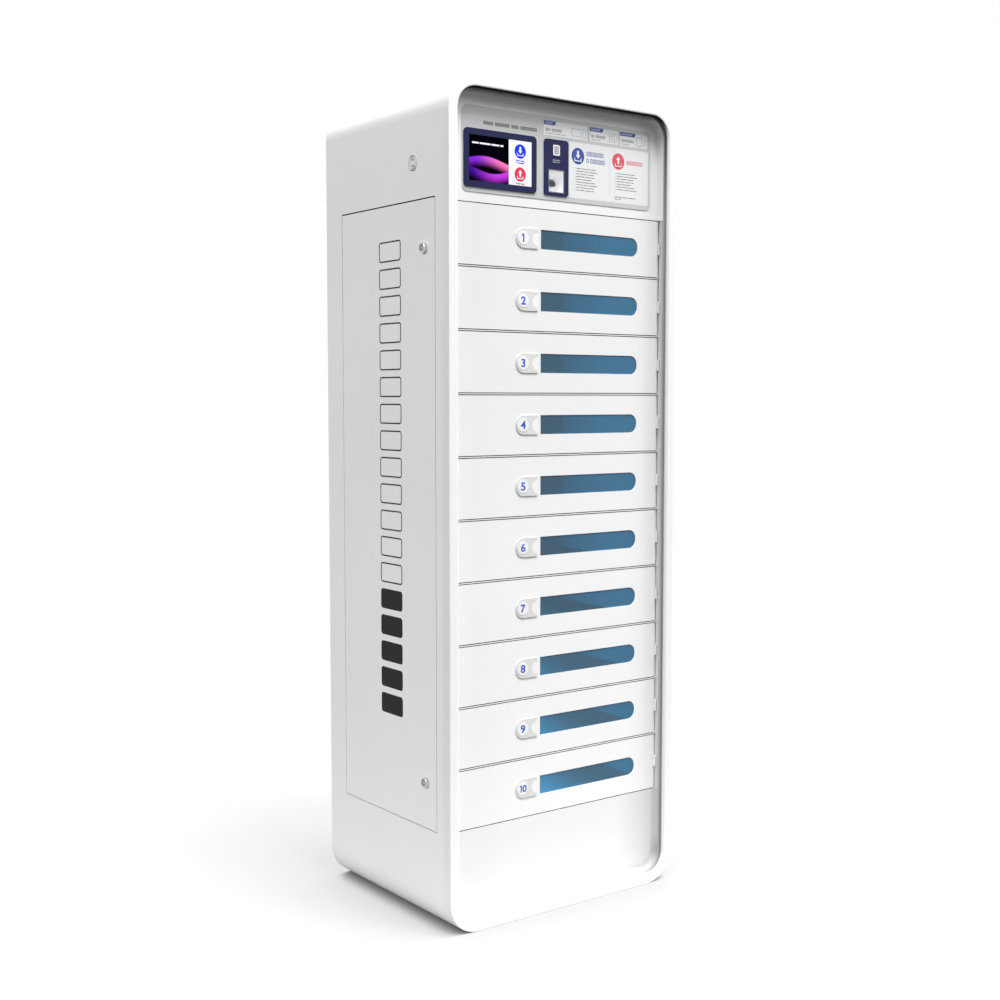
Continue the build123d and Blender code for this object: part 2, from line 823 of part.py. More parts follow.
def make_lock_sleeve(lock_z):
    """The fixed part of a cam lock: a proud round head, a barrel and the nut behind."""
    barrel_length = cam_front_x - left_x
    with BuildPart() as sleeve:
        with BuildSketch(facing_right(left_x, cam_lock_y, lock_z)):
            Circle(lock_head_radius)
        extrude(amount=-lock_head_proud)
        fillet(sleeve.faces().sort_by(Axis.X)[0].outer_wire().edges(), lock_head_round)
        with BuildSketch(facing_right(left_x, cam_lock_y, lock_z)):
            Circle(lock_barrel_radius)
        extrude(amount=barrel_length)
        with BuildSketch(facing_right(left_x + casing_sheet, cam_lock_y, lock_z)):
            RegularPolygon(lock_nut_radius, 6)
        extrude(amount=lock_nut_thickness)
        with BuildSketch(facing_right(left_x - lock_head_proud, cam_lock_y, lock_z)):
            Circle(lock_core_radius + running_clearance)
        extrude(amount=lock_head_proud + barrel_length, mode=Mode.SUBTRACT)
    return sleeve.part


def make_lock_core(lock_z):
    """The turning part of a cam lock: a keyed core with the cam on its inner end."""
    core_front_x = left_x - lock_head_proud + lock_core_step
    with BuildPart() as core:
        with BuildSketch(facing_right(core_front_x, cam_lock_y, lock_z)):
            Circle(lock_core_radius)
        extrude(amount=cam_front_x - core_front_x)
        with BuildSketch(facing_right(core_front_x, cam_lock_y, lock_z)):
            Rectangle(*keyway)
        extrude(amount=keyway_depth, mode=Mode.SUBTRACT)
        with BuildSketch(facing_right(cam_front_x, cam_lock_y, lock_z)):
            with Locations((0, -(cam_reach - cam_width / 2) / 2)):
                SlotOverall(cam_reach + cam_width / 2, cam_width, rotation=90)
        extrude(amount=cam_thickness)
    return core.part


def make_key_switch_bezel():
    """The ring of the key switch and its barrel through the casing."""
    with BuildPart() as ring:
        with BuildSketch(facing_right(left_x, key_switch_y, key_switch_z)):
            Circle(key_switch_flange_radius)
        extrude(amount=-key_switch_flange)
        with BuildSketch(facing_right(left_x, key_switch_y, key_switch_z)):
            Circle(key_switch_barrel_radius)
        extrude(amount=key_switch_barrel)
        with BuildSketch(
            facing_right(left_x - key_switch_flange, key_switch_y, key_switch_z)
        ):
            Circle(key_switch_core_radius + running_clearance)
        extrude(amount=key_switch_flange + key_switch_barrel, mode=Mode.SUBTRACT)
    return ring.part


def make_key_switch_core():
    """The turning core of the key switch, with its keyway."""
    core_front_x = left_x - key_switch_flange
    with BuildPart() as core:
        with BuildSketch(facing_right(core_front_x, key_switch_y, key_switch_z)):
            Circle(key_switch_core_radius)
        extrude(amount=key_switch_flange + key_switch_barrel)
        with BuildSketch(facing_right(core_front_x, key_switch_y, key_switch_z)):
            Rectangle(*keyway)
        extrude(amount=keyway_depth, mode=Mode.SUBTRACT)
    return core.part


# Power

def make_power_supply():
    """The metal-cased supply, standing on the plate over the top bay."""
    length, width, height = supply_size
    low_z = rail_top_z(door_count)
    return slab((-length / 2, length / 2), (-width / 2, width / 2), (low_z, low_z + height))


def make_mains_inlet():
    """The mains inlet in the back panel: a flange, a shroud and three pins."""
    with BuildPart() as inlet:
        with BuildSketch(facing_front(back_y, inlet_x, inlet_z)):
            RectangleRounded(*inlet_flange, inlet_corner)
        extrude(amount=-inlet_flange_thickness)
        with BuildSketch(facing_front(back_y, inlet_x, inlet_z)):
            Rectangle(*inlet_body)
        extrude(amount=inlet_body_depth)
        outer_y = back_y + inlet_flange_thickness
        with BuildSketch(facing_front(outer_y, inlet_x, inlet_z)):
            RectangleRounded(*inlet_well, inlet_corner)
            with Locations((-inlet_pin_pitch, 0), (0, 0), (inlet_pin_pitch, 0)):
                Rectangle(*inlet_pin, mode=Mode.SUBTRACT)
        extrude(amount=inlet_well_depth, mode=Mode.SUBTRACT)
    return inlet.part


os.makedirs("parts", exist_ok=True)

door_numbers = range(1, door_count + 1)
save("casing_top", casing_band(cabinet_height - corner_radius, cabinet_height))
save("casing_base", make_casing_base())
save("casing_left", make_casing_left())
save(
    "casing_right",
    slab(
        (cabinet_width / 2 - casing_sheet, cabinet_width / 2),
        (face_y, back_y),
        (corner_radius, cabinet_height - corner_radius),
    ),
)
save("rear_panel", make_rear_panel())
save("front_rim", make_front_rim())
save("kick_panel", make_kick_panel())
save("control_fascia", make_control_fascia())
save("fascia_overlay", make_fascia_overlay())
save("display_bezel", make_display_bezel())
save("touch_screen", make_touch_screen())
save("reader_housing", make_reader_housing())
save("reader_window", make_reader_window())
save("reader_scanner", make_reader_scanner())
save("door_frame", *make_door_frame())
save("bay_side_walls", *make_bay_side_walls())
save("bay_shelves", *make_bay_shelves())
save("bay_back_wall", make_bay_back_wall())
save("frame_hinge_leaves", *[make_frame_hinge(number) for number in door_numbers])
service_pins = [make_service_pin(True), make_service_pin(False)]
save("hinge_pins", *[make_hinge_pin(number) for number in door_numbers], *service_pins)
save("latch_locks", *[make_latch_lock(number) for number in door_numbers])
save("socket_modules", *[make_socket_module(number) for number in door_numbers])
save("service_door", make_service_door())
save("lock_sleeves", make_lock_sleeve(upper_lock_z), make_lock_sleeve(lower_lock_z))
save("upper_lock_core", make_lock_core(upper_lock_z))
save("lower_lock_core", make_lock_core(lower_lock_z))
save("key_switch_bezel", make_key_switch_bezel())
save("key_switch_core", make_key_switch_core())
save("power_supply", make_power_supply())
save("mains_inlet", make_mains_inlet())
for number in door_numbers:
    save(f"door_{number:02d}", make_locker_door(number))
    save(f"window_{number:02d}", make_window(number))
    save(f"tag_{number:02d}", *make_tag(number))
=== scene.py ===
# %% [markdown]
# # A laptop charging locker
#
# The cabinet, its doors, hinges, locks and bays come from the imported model, which stays as it
# is. This lesson dresses it: paint for the steel, glass for the windows, and thin printed films
# for the numbers, the head panel and the gauge on the side. All places are worked out from the
# boxes of the model's own pieces, so the dressing follows the cabinet.

# %% Load the cabinet
import json
import math

import bmesh
import bpy
import numpy as np
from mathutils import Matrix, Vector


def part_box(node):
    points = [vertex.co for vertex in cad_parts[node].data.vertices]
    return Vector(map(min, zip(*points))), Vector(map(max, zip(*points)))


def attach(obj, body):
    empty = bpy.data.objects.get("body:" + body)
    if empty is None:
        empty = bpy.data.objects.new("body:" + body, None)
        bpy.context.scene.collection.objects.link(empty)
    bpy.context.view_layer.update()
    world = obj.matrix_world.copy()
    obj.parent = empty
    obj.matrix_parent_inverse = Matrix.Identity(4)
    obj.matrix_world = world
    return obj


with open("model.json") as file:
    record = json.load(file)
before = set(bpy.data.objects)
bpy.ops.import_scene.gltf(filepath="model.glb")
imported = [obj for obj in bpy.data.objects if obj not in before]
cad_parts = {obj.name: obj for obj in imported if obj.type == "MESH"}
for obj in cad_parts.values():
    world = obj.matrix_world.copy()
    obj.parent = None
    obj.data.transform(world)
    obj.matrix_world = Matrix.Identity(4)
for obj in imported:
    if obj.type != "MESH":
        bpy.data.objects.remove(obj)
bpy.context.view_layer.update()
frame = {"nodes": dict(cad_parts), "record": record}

nodes = frame["nodes"]
mm = 0.001
print("pieces in the model:", len(nodes))

# %% [markdown]
# ## Where things are
#
# A printed film needs the face that it lies on. The box of a piece gives that face and its
# edges, so no place is typed in twice.


# %% Faces and doors
def corners(node):
    """The lowest and the highest corner of a piece, in metres."""
    low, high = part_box(node)
    return np.array(low), np.array(high)


door_names = sorted(name for name in nodes if name.startswith("door_") and name[5:].isdigit())
door_numbers = range(1, len(door_names) + 1)
overlay_low, overlay_high = corners("fascia_overlay")
bezel_low, bezel_high = corners("display_bezel")
screen_low, screen_high = corners("touch_screen")
reader_low, reader_high = corners("reader_housing")
pane_low, pane_high = corners("reader_window")
rim_low, rim_high = corners("front_rim")
first_window_low, first_window_high = corners("window_01")
pane_margin = 7 * mm
door_pitch = float(corners("door_01")[0][2] - corners("door_02")[0][2])
print("overlay", overlay_low / mm, overlay_high / mm)

# %% [markdown]
# ## Colours
#
# Blender's shaders take linear colours, while people read colours off a screen. This helper
# turns screen values from 0 to 255 into linear ones.


# %% Screen colours
def colour(red, green, blue):
    """A linear colour from screen values: the usual power curve with its short straight start."""
    screen = np.array([red, green, blue]) / 255
    linear = np.where(screen <= 0.04045, screen / 12.92, ((screen + 0.055) / 1.055) ** 2.4)
    return (*linear.tolist(), 1.0)


def grey(value):
    """A neutral colour from one screen value."""
    return colour(value, value, value)


def darkened(base, share):
    """A linear colour times a share of its light."""
    return (*(part * share for part in base[:3]), 1.0)


white_paint = grey(244)
black = (0, 0, 0, 1)
navy = colour(18, 25, 73)
print("white paint", white_paint)

# %% [markdown]
# ## Shader maths as plain sums
#
# A pattern on a surface is a number at each point of it. The class below wraps such a number,
# and its operators add Math nodes, so that a pattern reads like a formula: `0.3 + 0.1 * cloud`.


# %% A number that varies over a surface
class Reading:
    """One output of a node. Sums on it give new readings."""

    def __init__(self, finish, socket):
        self.finish = finish
        self.socket = socket

    def sum(self, operation, *others):
        sockets = dict(enumerate((self, *others)))
        return self.finish.node("ShaderNodeMath", {"operation": operation}, sockets)

    def __add__(self, other):
        return self.sum("ADD", other)

    def __sub__(self, other):
        return self.sum("SUBTRACT", other)

    def __mul__(self, other):
        return self.sum("MULTIPLY", other)

    def __rsub__(self, other):
        return self.sum("MULTIPLY", -1.0) + other

    __radd__ = __add__
    __rmul__ = __mul__

    def step(self, low, high):
        """0 below low and 1 above high, with a soft step between them."""
        settings = {"interpolation_type": "SMOOTHSTEP"}
        sockets = {"Value": self, "From Min": low, "From Max": high}
        return self.finish.node("ShaderNodeMapRange", settings, sockets)

    def ramp(self, low, high):
        """0 below low and 1 above high, with a straight ramp between them."""
        sockets = {"Value": self, "From Min": low, "From Max": high}
        return self.finish.node("ShaderNodeMapRange", {}, sockets)


# %% [markdown]
# ## A finish
#
# Every material here is one Principled shader with some readings behind its sockets. The class
# keeps the node tree and gives the few nodes that the finishes share: the place on the piece,
# noise, a blend of two colours, and bump.


# %% The finish class
class Graph:
    """A node tree, and the nodes that most shaders share."""

    def __init__(self, tree):
        self.tree = tree

    def node(self, kind, settings=None, sockets=None, output=0):
        """Adds a node, its settings first, and returns one of its outputs."""
        made = self.tree.nodes.new(kind)
        for name, value in (settings or {}).items():
            setattr(made, name, value)
        for name, value in (sockets or {}).items():
            self.feed(made.inputs[name], value)
        return None if output is None else Reading(self, made.outputs[output])

    def feed(self, socket, value):
        """Links a reading to a socket, or sets the socket to a plain value."""
        if isinstance(value, Reading):
            self.tree.links.new(value.socket, socket)
        else:
            socket.default_value = value

    def blend(self, mask, first, second):
        """The first colour where the mask is 0 and the second where it is 1."""
        sockets = {0: mask, 6: first, 7: second}
        return self.node("ShaderNodeMix", {"data_type": "RGBA"}, sockets, output=2)

    def seen_directly(self):
        """1 for rays from the camera, from gloss and through glass, 0 for bounced light."""
        names = ("Is Camera Ray", "Is Glossy Ray", "Is Transmission Ray")
        camera_ray, gloss_ray, glass_ray = (
            self.node("ShaderNodeLightPath", output=name) for name in names
        )
        return camera_ray.sum("MAXIMUM", gloss_ray).sum("MAXIMUM", glass_ray)


class Finish(Graph):
    """A material that is built up round one Principled shader."""

    def __init__(self, name, sockets):
        self.material = bpy.data.materials.new(name)
        self.material.use_nodes = True
        super().__init__(self.material.node_tree)
        self.shader = self.tree.nodes["Principled BSDF"]
        self.place = self.node("ShaderNodeTexCoord", output="Object")
        self.set(sockets)

    def set(self, sockets):
        """Sets or links several sockets of the shader."""
        for name, value in sockets.items():
            self.feed(self.shader.inputs[name], value)

    def along(self, axis):
        """The distance along X, Y or Z, in metres."""
        return self.node("ShaderNodeSeparateXYZ", {}, {0: self.place}, output="XYZ".index(axis))

    def noise(self, size, stretch=(1, 1, 1), detail=2.0):
        """Soft noise with spots of about that size in metres, stretched along each axis."""
        stretched = self.node("ShaderNodeMapping", {}, {"Vector": self.place, "Scale": stretch})
        sockets = {"Vector": stretched, "Scale": 1 / size, "Detail": detail}
        return self.node("ShaderNodeTexNoise", {}, sockets)

    def bump(self, height, depth, strength=1.0):
        """Raises the surface by a reading times a depth in metres."""
        sockets = {"Height": height, "Distance": depth, "Strength": strength}
        self.set({"Normal": self.node("ShaderNodeBump", {}, sockets)})


# %% [markdown]
# ## Powder coat
#
# The casing is steel with a white powder coat. Powder melts into a film with a faint orange
# peel about a millimetre across, and its gloss drifts a little over a wide panel. Two noises
# give that: a fine one for the bump, and a wide one for the roughness and the tone. The head
# panel bends forward under the rim's top lip, and painted shade darkens its paint into that
# corner.


# %% Painted steel
peel_size = 1.6 * mm
peel_depth = 0.02 * mm
panel_cloud = 420 * mm
# Painted light: the casing and the doors are painted paler towards the foot, where the lower
# cabinet is lit more.
painted_light_drift = (800 * mm, 1700 * mm)
fascia_bend = (1867 * mm, 1874.2 * mm)


def powder_coat(name, paint, darker=0.975, roughness=0.42, foot_paint=None):
    """Powder-coated steel in one colour, slightly uneven in tone and gloss.

    With a foot paint, the colour drifts to it from the head of the cabinet down to its foot; this
    paler foot is painted light.
    """
    finish = Finish(name, {})
    cloud = finish.noise(panel_cloud, detail=3.0)
    peel = finish.noise(peel_size)
    if foot_paint:
        paint = finish.blend(finish.along("Z").ramp(*painted_light_drift), foot_paint, paint)
    mottle = cloud.step(0.35, 0.65) * (1 - darker) + darker
    finish.set({"Base Color": finish.blend(mottle, black, paint)})
    finish.set({"Roughness": roughness + 0.08 * (cloud - 0.5) + 0.06 * (peel - 0.5)})
    finish.bump(peel, peel_depth)
    return finish


casing_white = powder_coat("casing_white", white_paint, foot_paint=grey(250))
door_white = powder_coat(
    "door_white", grey(239), 0.985, 0.38, foot_paint=grey(254)
)
bay_steel = powder_coat("bay_steel", colour(206, 208, 210), roughness=0.5)
fascia_white = powder_coat("fascia_white", white_paint)
# Painted shade: the head panel's paint darkens into the corner under the rim's top lip.
fascia_painted_shade = fascia_white.along("Z").ramp(*fascia_bend)
fascia_white.set(
    {"Base Color": fascia_white.blend(fascia_painted_shade, white_paint, colour(110, 110, 111))}
)
# Painted shade: a near-black paint for the strips that darken the seams.
seal_grey = powder_coat("seal_grey", colour(30, 30, 32), roughness=0.7)
seal_grey.set({"Specular IOR Level": 0.1})
print("paint drifts between", painted_light_drift, "m")

# %% [markdown]
# ## The rim
#
# The front of the rim is the whitest face of the cabinet, while its outer sides carry on as the
# casing. Its inner lip carries painted shade, dark at the front edge and paler deeper in, darkest
# at the top, with a pale painted highlight along the front edge of the side lip; a thin painted
# shadow line runs on the front face over the top lip, and near the inner edge on the right the
# front face is painted a little greyer as shade. One material does all three. A step along Y parts
# the front from the rest, and the distance from the rounded outline of the rim, which is 0 on the
# outside and a rim's width on the lip, parts the inside from the outside. On the lip, `share` runs
# from 0 at the front edge to 1 at the doors.


# %% Rim paint
def outline_distance(finish, low, high, radius):
    """How far inside a rounded box in X and Z a point is.

    Beyond the middles of the corners, x and z run from 0 up to the radius, so the distance is
    the radius less the length of (x, z).
    """
    middle, half = (low + high) / 2, (high - low) / 2
    x = (finish.along("X") - middle[0]).sum("ABSOLUTE") - (half[0] - radius)
    z = (finish.along("Z") - middle[2]).sum("ABSOLUTE") - (half[2] - radius)
    x, z = x.sum("MAXIMUM", 0.0), z.sum("MAXIMUM", 0.0)
    return radius - (x * x + z * z).sum("SQRT")


rim_front = rim_low[1]
rim_blend = 1.2 * mm
rim_width = 26 * mm
corner_radius = 75 * mm
lip_depth = overlay_low[1] - rim_front
rim_white = powder_coat("rim_white", white_paint)
rim_white.set({"Specular IOR Level": 0.0})
inside = outline_distance(rim_white, rim_low, rim_high, corner_radius)
behind = rim_white.along("Y") - float(rim_front)
share = behind * float(1 / lip_depth)
above_floor = rim_white.along("Z").step(36 * mm, 80 * mm)
above_floor = above_floor.sum("MAXIMUM", rim_white.along("X").step(110 * mm, 310 * mm))
upper_part = rim_white.along("Z").step(1620 * mm, 1860 * mm)
under_top = rim_white.along("Z").step(1832 * mm, 1870 * mm)
on_right = rim_white.along("X").step(100 * mm, 150 * mm)
behind_front = behind.step(0.2 * rim_blend, rim_blend)
on_lip = inside.step(14 * mm, 22 * mm) * above_floor
# Painted shade on the lip: dark at its front edge, paler deeper in, darkest at the top; the pale
# band at the very front of the side lip is a painted highlight.
side_edge_shade = rim_white.blend(upper_part, colour(130, 130, 131), colour(66, 66, 67))
side_deep = rim_white.blend(share.ramp(0.3, 1.0), side_edge_shade, grey(240))
side_lip_shade_and_highlight = rim_white.blend(share.step(0.08, 0.27), grey(236), side_deep)
top_deep = rim_white.blend(share.step(0.15, 1.2), colour(50, 50, 51), grey(253))
top_lip = rim_white.blend(share.step(0.75, 1.0), top_deep, grey(218))
lip_painted_shade = rim_white.blend(under_top, side_lip_shade_and_highlight, top_lip)
side_paint = rim_white.blend(on_lip, white_paint, lip_painted_shade)
# Painted shade on the front face: slightly greyer near the inner edge on the right, and a thin
# dark line over the top lip.
front_edge_shade = inside.step(17 * mm, 19 * mm) * on_right * above_floor
front_paint = rim_white.blend(front_edge_shade, grey(254), grey(243))
top_edge_shade = inside.step(23.6 * mm, 24.8 * mm) * under_top
front_paint = rim_white.blend(top_edge_shade, front_paint, colour(60, 60, 61))
rim_white.set({"Base Color": rim_white.blend(behind_front, front_paint, side_paint)})
print("rim front at", round(rim_front / mm, 1), "mm")

# %% [markdown]
# ## The kick panel
#
# The panel under the doors curves forward to the rim on its sides and at its foot. Its paint
# carries painted shade: paler in the middle and darker towards those curves, most of all in the
# lower right corner.

# %% Kick panel paint
kick_white = powder_coat("kick_white", white_paint)
# Painted shade towards the curved sides and the lower right corner.
across_kick = kick_white.along("X")
right_shade = across_kick.step(274 * mm, 316 * mm)
right_shade = right_shade.sum("MAXIMUM", 0.3 * across_kick.step(160 * mm, 262 * mm))
left_shade = 1 - across_kick.step(-309 * mm, -288 * mm)
opening_edge = outline_distance(
    kick_white, rim_low + rim_width, rim_high - rim_width, corner_radius - rim_width
)
corner_shade = (1 - opening_edge.step(-6 * mm, 24 * mm)) * across_kick.step(80 * mm, 290 * mm)
corner_shade = corner_shade * (1 - kick_white.along("Z").step(60 * mm, 120 * mm))
kick_paint = kick_white.blend(right_shade, grey(244), colour(194, 194, 195))
kick_paint = kick_white.blend(corner_shade, kick_paint, colour(168, 168, 169))
kick_paint = kick_white.blend(left_shade, kick_paint, grey(226))
kick_white.set({"Base Color": kick_paint})
print("kick panel painted")

# %% [markdown]
# ## Metals
#
# Zinc plate on the locks, hinges and pins is dull, with a faint patchwork of crystals. The cam
# locks are polished chrome, with very fine scratches, and the key switch is pale satin nickel.


# %% Zinc, chrome and nickel
def zinc_plate():
    """Zinc-plated steel: Voronoi crystals a few millimetres wide shift its gloss."""
    finish = Finish("plated_steel", {"Metallic": 1.0})
    sockets = {"Vector": finish.place, "Scale": 1 / (4 * mm)}
    crystal = finish.node("ShaderNodeTexVoronoi", {}, sockets, output="Color")
    tone = finish.node("ShaderNodeSeparateColor", {}, {0: crystal})
    finish.set({"Base Color": finish.blend(tone, colour(196, 199, 203), colour(214, 216, 219))})
    finish.set({"Roughness": 0.3 + 0.14 * tone})
    finish.bump(finish.noise(0.6 * mm), 0.01 * mm)
    return finish


def polished_chrome():
    """Chrome with a fine scratched haze."""
    finish = Finish("lock_chrome", {"Metallic": 1.0})
    haze = finish.noise(0.4 * mm, stretch=(1, 1, 6))
    finish.set({"Base Color": finish.blend(haze, colour(186, 188, 192), colour(214, 216, 219))})
    finish.set({"Roughness": 0.16 + 0.14 * haze})
    return finish


def satin_nickel():
    """Pale satin nickel: half a metal, with a fine brushed haze."""
    finish = Finish("satin_nickel", {"Metallic": 0.35, "Roughness": 0.45})
    haze = finish.noise(0.5 * mm, stretch=(1, 1, 4))
    finish.set({"Base Color": finish.blend(haze, colour(226, 227, 229), colour(240, 240, 241))})
    return finish


plated_steel = zinc_plate()
lock_chrome = polished_chrome()
switch_nickel = satin_nickel()
print("metals: zinc plate, chrome and nickel")

# %% [markdown]
# ## Plastics
#
# Moulded plastic has a fine spark-eroded grain. The number tags, the sockets and the dark
# frames share one function and differ in colour, gloss and depth of grain. The tags' side faces
# are painted darker and glow faintly: painted light and shade that tone down their lit top edges
# and lift their shaded bottom edges.


# %% Moulded plastics
def moulded(name, base, roughness, grain=0.02 * mm):
    """Moulded plastic: a grain of fine noise, shinier on its crests."""
    finish = Finish(name, {})
    spark = finish.noise(0.7 * mm, detail=4.0)
    finish.set({"Base Color": finish.blend(spark, darkened(base, 0.92), base)})
    finish.set({"Roughness": roughness + 0.12 * (spark - 0.5)})
    finish.bump(spark, grain)
    return finish


tag_grey = moulded("tag_grey", colour(228, 228, 227), 0.45)
tag_front = float(corners("tag_01")[0][1])
# Painted light and shade: the tags' side faces are darker and glow faintly, toning down lit top
# edges and lifting shaded bottom edges.
tag_side = tag_grey.along("Y").step(tag_front + 0.9 * mm, tag_front + 1.3 * mm)
tag_paint = tag_grey.blend(tag_side, colour(228, 228, 227), grey(196))
tag_grey.set({"Base Color": tag_paint})
tag_light = tag_grey.blend(tag_side, black, (0.2, 0.2, 0.2, 1))
tag_grey.set({"Emission Color": tag_light, "Emission Strength": 1.0})
navy_bezel = moulded("navy_bezel", navy, 0.34, grain=0.008 * mm)
navy_bezel.set({"Specular IOR Level": 0.24})
black_plastic = moulded("black_plastic", colour(40, 41, 43), 0.48)
printed_overlay = moulded("printed_overlay", colour(206, 208, 208), 0.36, grain=0.006 * mm)
screen_glass = moulded("screen_glass", colour(8, 8, 10), 0.12, grain=0.001 * mm)
print("plastic finishes:", 5)

# %% [markdown]
# ## The reader's well
#
# The reader's front plate is navy, and the funnel behind its window is pale, so that the
# scanner can see; a small lamp in it gives it a faint glow. The two are one moulding, so its
# material changes colour behind the plate and inside the outline of the window.

# %% Reader plastic
plate_depth = 1.6 * mm
well_margin = 4 * mm
reader_plastic = moulded("reader_plastic", navy, 0.34, grain=0.008 * mm)
reader_plastic.set({"Specular IOR Level": 0.24})
depth_in = reader_plastic.along("Y")
behind_plate = depth_in.step(reader_low[1] + 0.8 * plate_depth, reader_low[1] + plate_depth)
before_back = 1 - depth_in.step(reader_high[1] - 2 * mm, reader_high[1] - 1 * mm)
in_well = behind_plate * before_back
for axis, index in (("X", 0), ("Z", 2)):
    middle = (pane_low[index] + pane_high[index]) / 2
    reach = (pane_high[index] - pane_low[index]) / 2
    off_middle = (reader_plastic.along(axis) - middle).sum("ABSOLUTE")
    in_well = in_well * (1 - off_middle.step(reach, reach + well_margin))
well_light = reader_plastic.blend(in_well, black, (0.3, 0.3, 0.31, 1))
well_colour = reader_plastic.blend(in_well, navy, grey(236))
reader_plastic.set({"Base Color": well_colour})
reader_plastic.set({"Emission Color": well_light, "Emission Strength": 1.0})
print("reader plate front at", round(reader_low[1] / mm, 1), "mm")

# %% [markdown]
# ## Windows
#
# Each door has a pane of blue acrylic. It is a deep tint, so most of the blue comes from the
# pane and a little of the dark bay shows through: alpha does that. Its left end, towards the
# latch, is painted greyer as shade, and the blue is painted darker to the left. Lower down the
# cabinet the grey part reaches further right along a slant, and a painted pool of light from the
# floor sits at the lower left.


# %% Tinted and clear panes
def tinted_acrylic():
    """Blue acrylic over a lit bay, with painted shade and painted light on it.

    u runs along a window from its left end and v up from its middle; row is 0 at the lowest
    door and counts upwards. The left part, up to the line u = line, is painted grey as shade. In
    the low rows a painted pool of light from the floor sits at its lower left corner and fades
    with the square of u + 1.6 v + 35 row + 3.5 row^2.
    """
    finish = Finish("tinted_window", {"Roughness": 0.09, "Alpha": 0.9, "IOR": 1.49})
    low_middle = float(first_window_low[2] + first_window_high[2]) / 2 - 9 * door_pitch
    u = finish.along("X") - float(first_window_low[0] + pane_margin)
    height = finish.along("Z") - (low_middle - 0.5 * door_pitch)
    v = height.sum("MODULO", door_pitch) - 0.5 * door_pitch
    row = (height - v - 0.5 * door_pitch) * (1 / door_pitch)
    line = 234 * mm - 15.5 * mm * row - 7.7 * mm * (row * row) - (2.2 + 0.65 * row) * v
    line = line.sum("MAXIMUM", 64 * mm)
    # Painted shade: the grey left part and the blue darker to the left; painted light: the pale
    # blue pool at the lower left.
    beyond = (u - line).step(-5 * mm, 9 * mm)
    blue = finish.blend(u.ramp(66 * mm, 200 * mm), colour(47, 98, 130), colour(52, 114, 152))
    grey = finish.blend(row.step(2.0, 3.0), colour(54, 97, 124), colour(50, 89, 114))
    away = u + 1.6 * v + 35 * mm * row + 3.5 * mm * (row * row)
    glow = (200 * mm - away).ramp(0.0, 215 * mm)
    left = finish.blend(glow * glow, grey, colour(68, 156, 206))
    finish.set({"Base Color": finish.blend(beyond, left, blue)})
    return finish


def clear_pane():
    """Clear glass, which shows mostly by its gloss."""
    finish = Finish("clear_glass", {"Roughness": 0.05, "Alpha": 0.06})
    finish.set({"Base Color": colour(150, 152, 154)})
    return finish


tinted_window = tinted_acrylic()
clear_glass = clear_pane()
print("panes: tinted and clear")

# %% [markdown]
# ## Hand the finishes to the cabinet
#
# The record says which finish each piece has. The model's meshes stay untouched: only what is
# in their material slots changes.

# %% Dress the model's own pieces
by_slot = {
    "casing_white": casing_white,
    "rim_white": rim_white,
    "door_white": door_white,
    "bay_steel": bay_steel,
    "plated_steel": plated_steel,
    "lock_chrome": lock_chrome,
    "tinted_window": tinted_window,
    "clear_glass": clear_glass,
    "screen_glass": screen_glass,
    "navy_bezel": navy_bezel,
    "printed_overlay": printed_overlay,
    "tag_grey": tag_grey,
    "black_plastic": black_plastic,
}
own_finish = {
    "control_fascia": fascia_white,
    "reader_housing": reader_plastic,
    "kick_panel": kick_white,
    "key_switch_bezel": switch_nickel,
    "key_switch_core": switch_nickel,
}
for row in frame["record"]["subparts"]:
    target = nodes[row["node"]]
    finish = own_finish.get(row["node"], by_slot[row["material_slot"]])
    target.data.materials.clear()
    target.data.materials.append(finish.material)

# %% [markdown]
# ## Flat outlines
#
# Print is flat, so it starts as outlines: arrays of points, two numbers each, run
# anticlockwise. A box, a rounded box, a disc and a triangle cover all that is printed here.


# %% Outlines
def rounded_box(middle, size, radius, points=7):
    """A box with round corners: four quarter circles, joined by straight sides."""
    angle = np.linspace(0, math.pi / 2, points)
    turn = np.repeat(np.arange(4) * math.pi / 2, points)
    spoke = np.tile(angle, 4) + turn
    sides = np.array([[1, 1], [-1, 1], [-1, -1], [1, -1]])
    inner = np.repeat(sides, points, axis=0) * (np.array(size) / 2 - radius)
    return np.array(middle) + inner + radius * np.stack([np.cos(spoke), np.sin(spoke)], axis=1)


def box_outline(middle, size):
    """A plain box: its four corners."""
    sides = np.array([[1, 1], [-1, 1], [-1, -1], [1, -1]])
    return np.array(middle) + sides * np.array(size) / 2


def disc_outline(middle, radius, points=64):
    """A circle: cosine and sine of evenly spaced angles."""
    angle = np.linspace(0, 2 * math.pi, points, endpoint=False)
    return np.array(middle) + radius * np.stack([np.cos(angle), np.sin(angle)], axis=1)


print("corner points of a rounded box:", len(rounded_box((0, 0), (2, 1), 0.2)))

# %% [markdown]
# ## From outline to film
#
# A film is a plate 0.12 mm thick. Each outline gives a back and a front copy and a strip of
# side faces. An outline given as a pair is a ring: its two edges are joined by faces instead of
# being filled. All films of one colour are one piece, so a colour is changed in one place.

# %% Build films
film = 0.12 * mm


def shell_of(outline, low, high):
    """Points and faces of one plate between two heights above its surface."""
    ring = isinstance(outline, tuple)
    loops = outline if ring else (outline,)
    count = len(loops[0])
    flat = np.concatenate([loop for height in (low, high) for loop in loops])
    height = np.repeat([low, high], count * len(loops))
    here = np.arange(count)
    after = (here + 1) % count
    top = count * len(loops)
    faces = np.stack([here, after, after + top, here + top], axis=1).tolist()
    if not ring:
        faces += [here[::-1].tolist(), (here + top).tolist()]
        return flat, height, faces
    inner, inner_after = here + count, after + count
    faces += np.stack([inner_after, inner, inner + top, inner_after + top], axis=1).tolist()
    faces += np.stack([after, here, inner, inner_after], axis=1).tolist()
    faces += (top + np.stack([here, after, inner_after, inner], axis=1)).tolist()
    return flat, height, faces


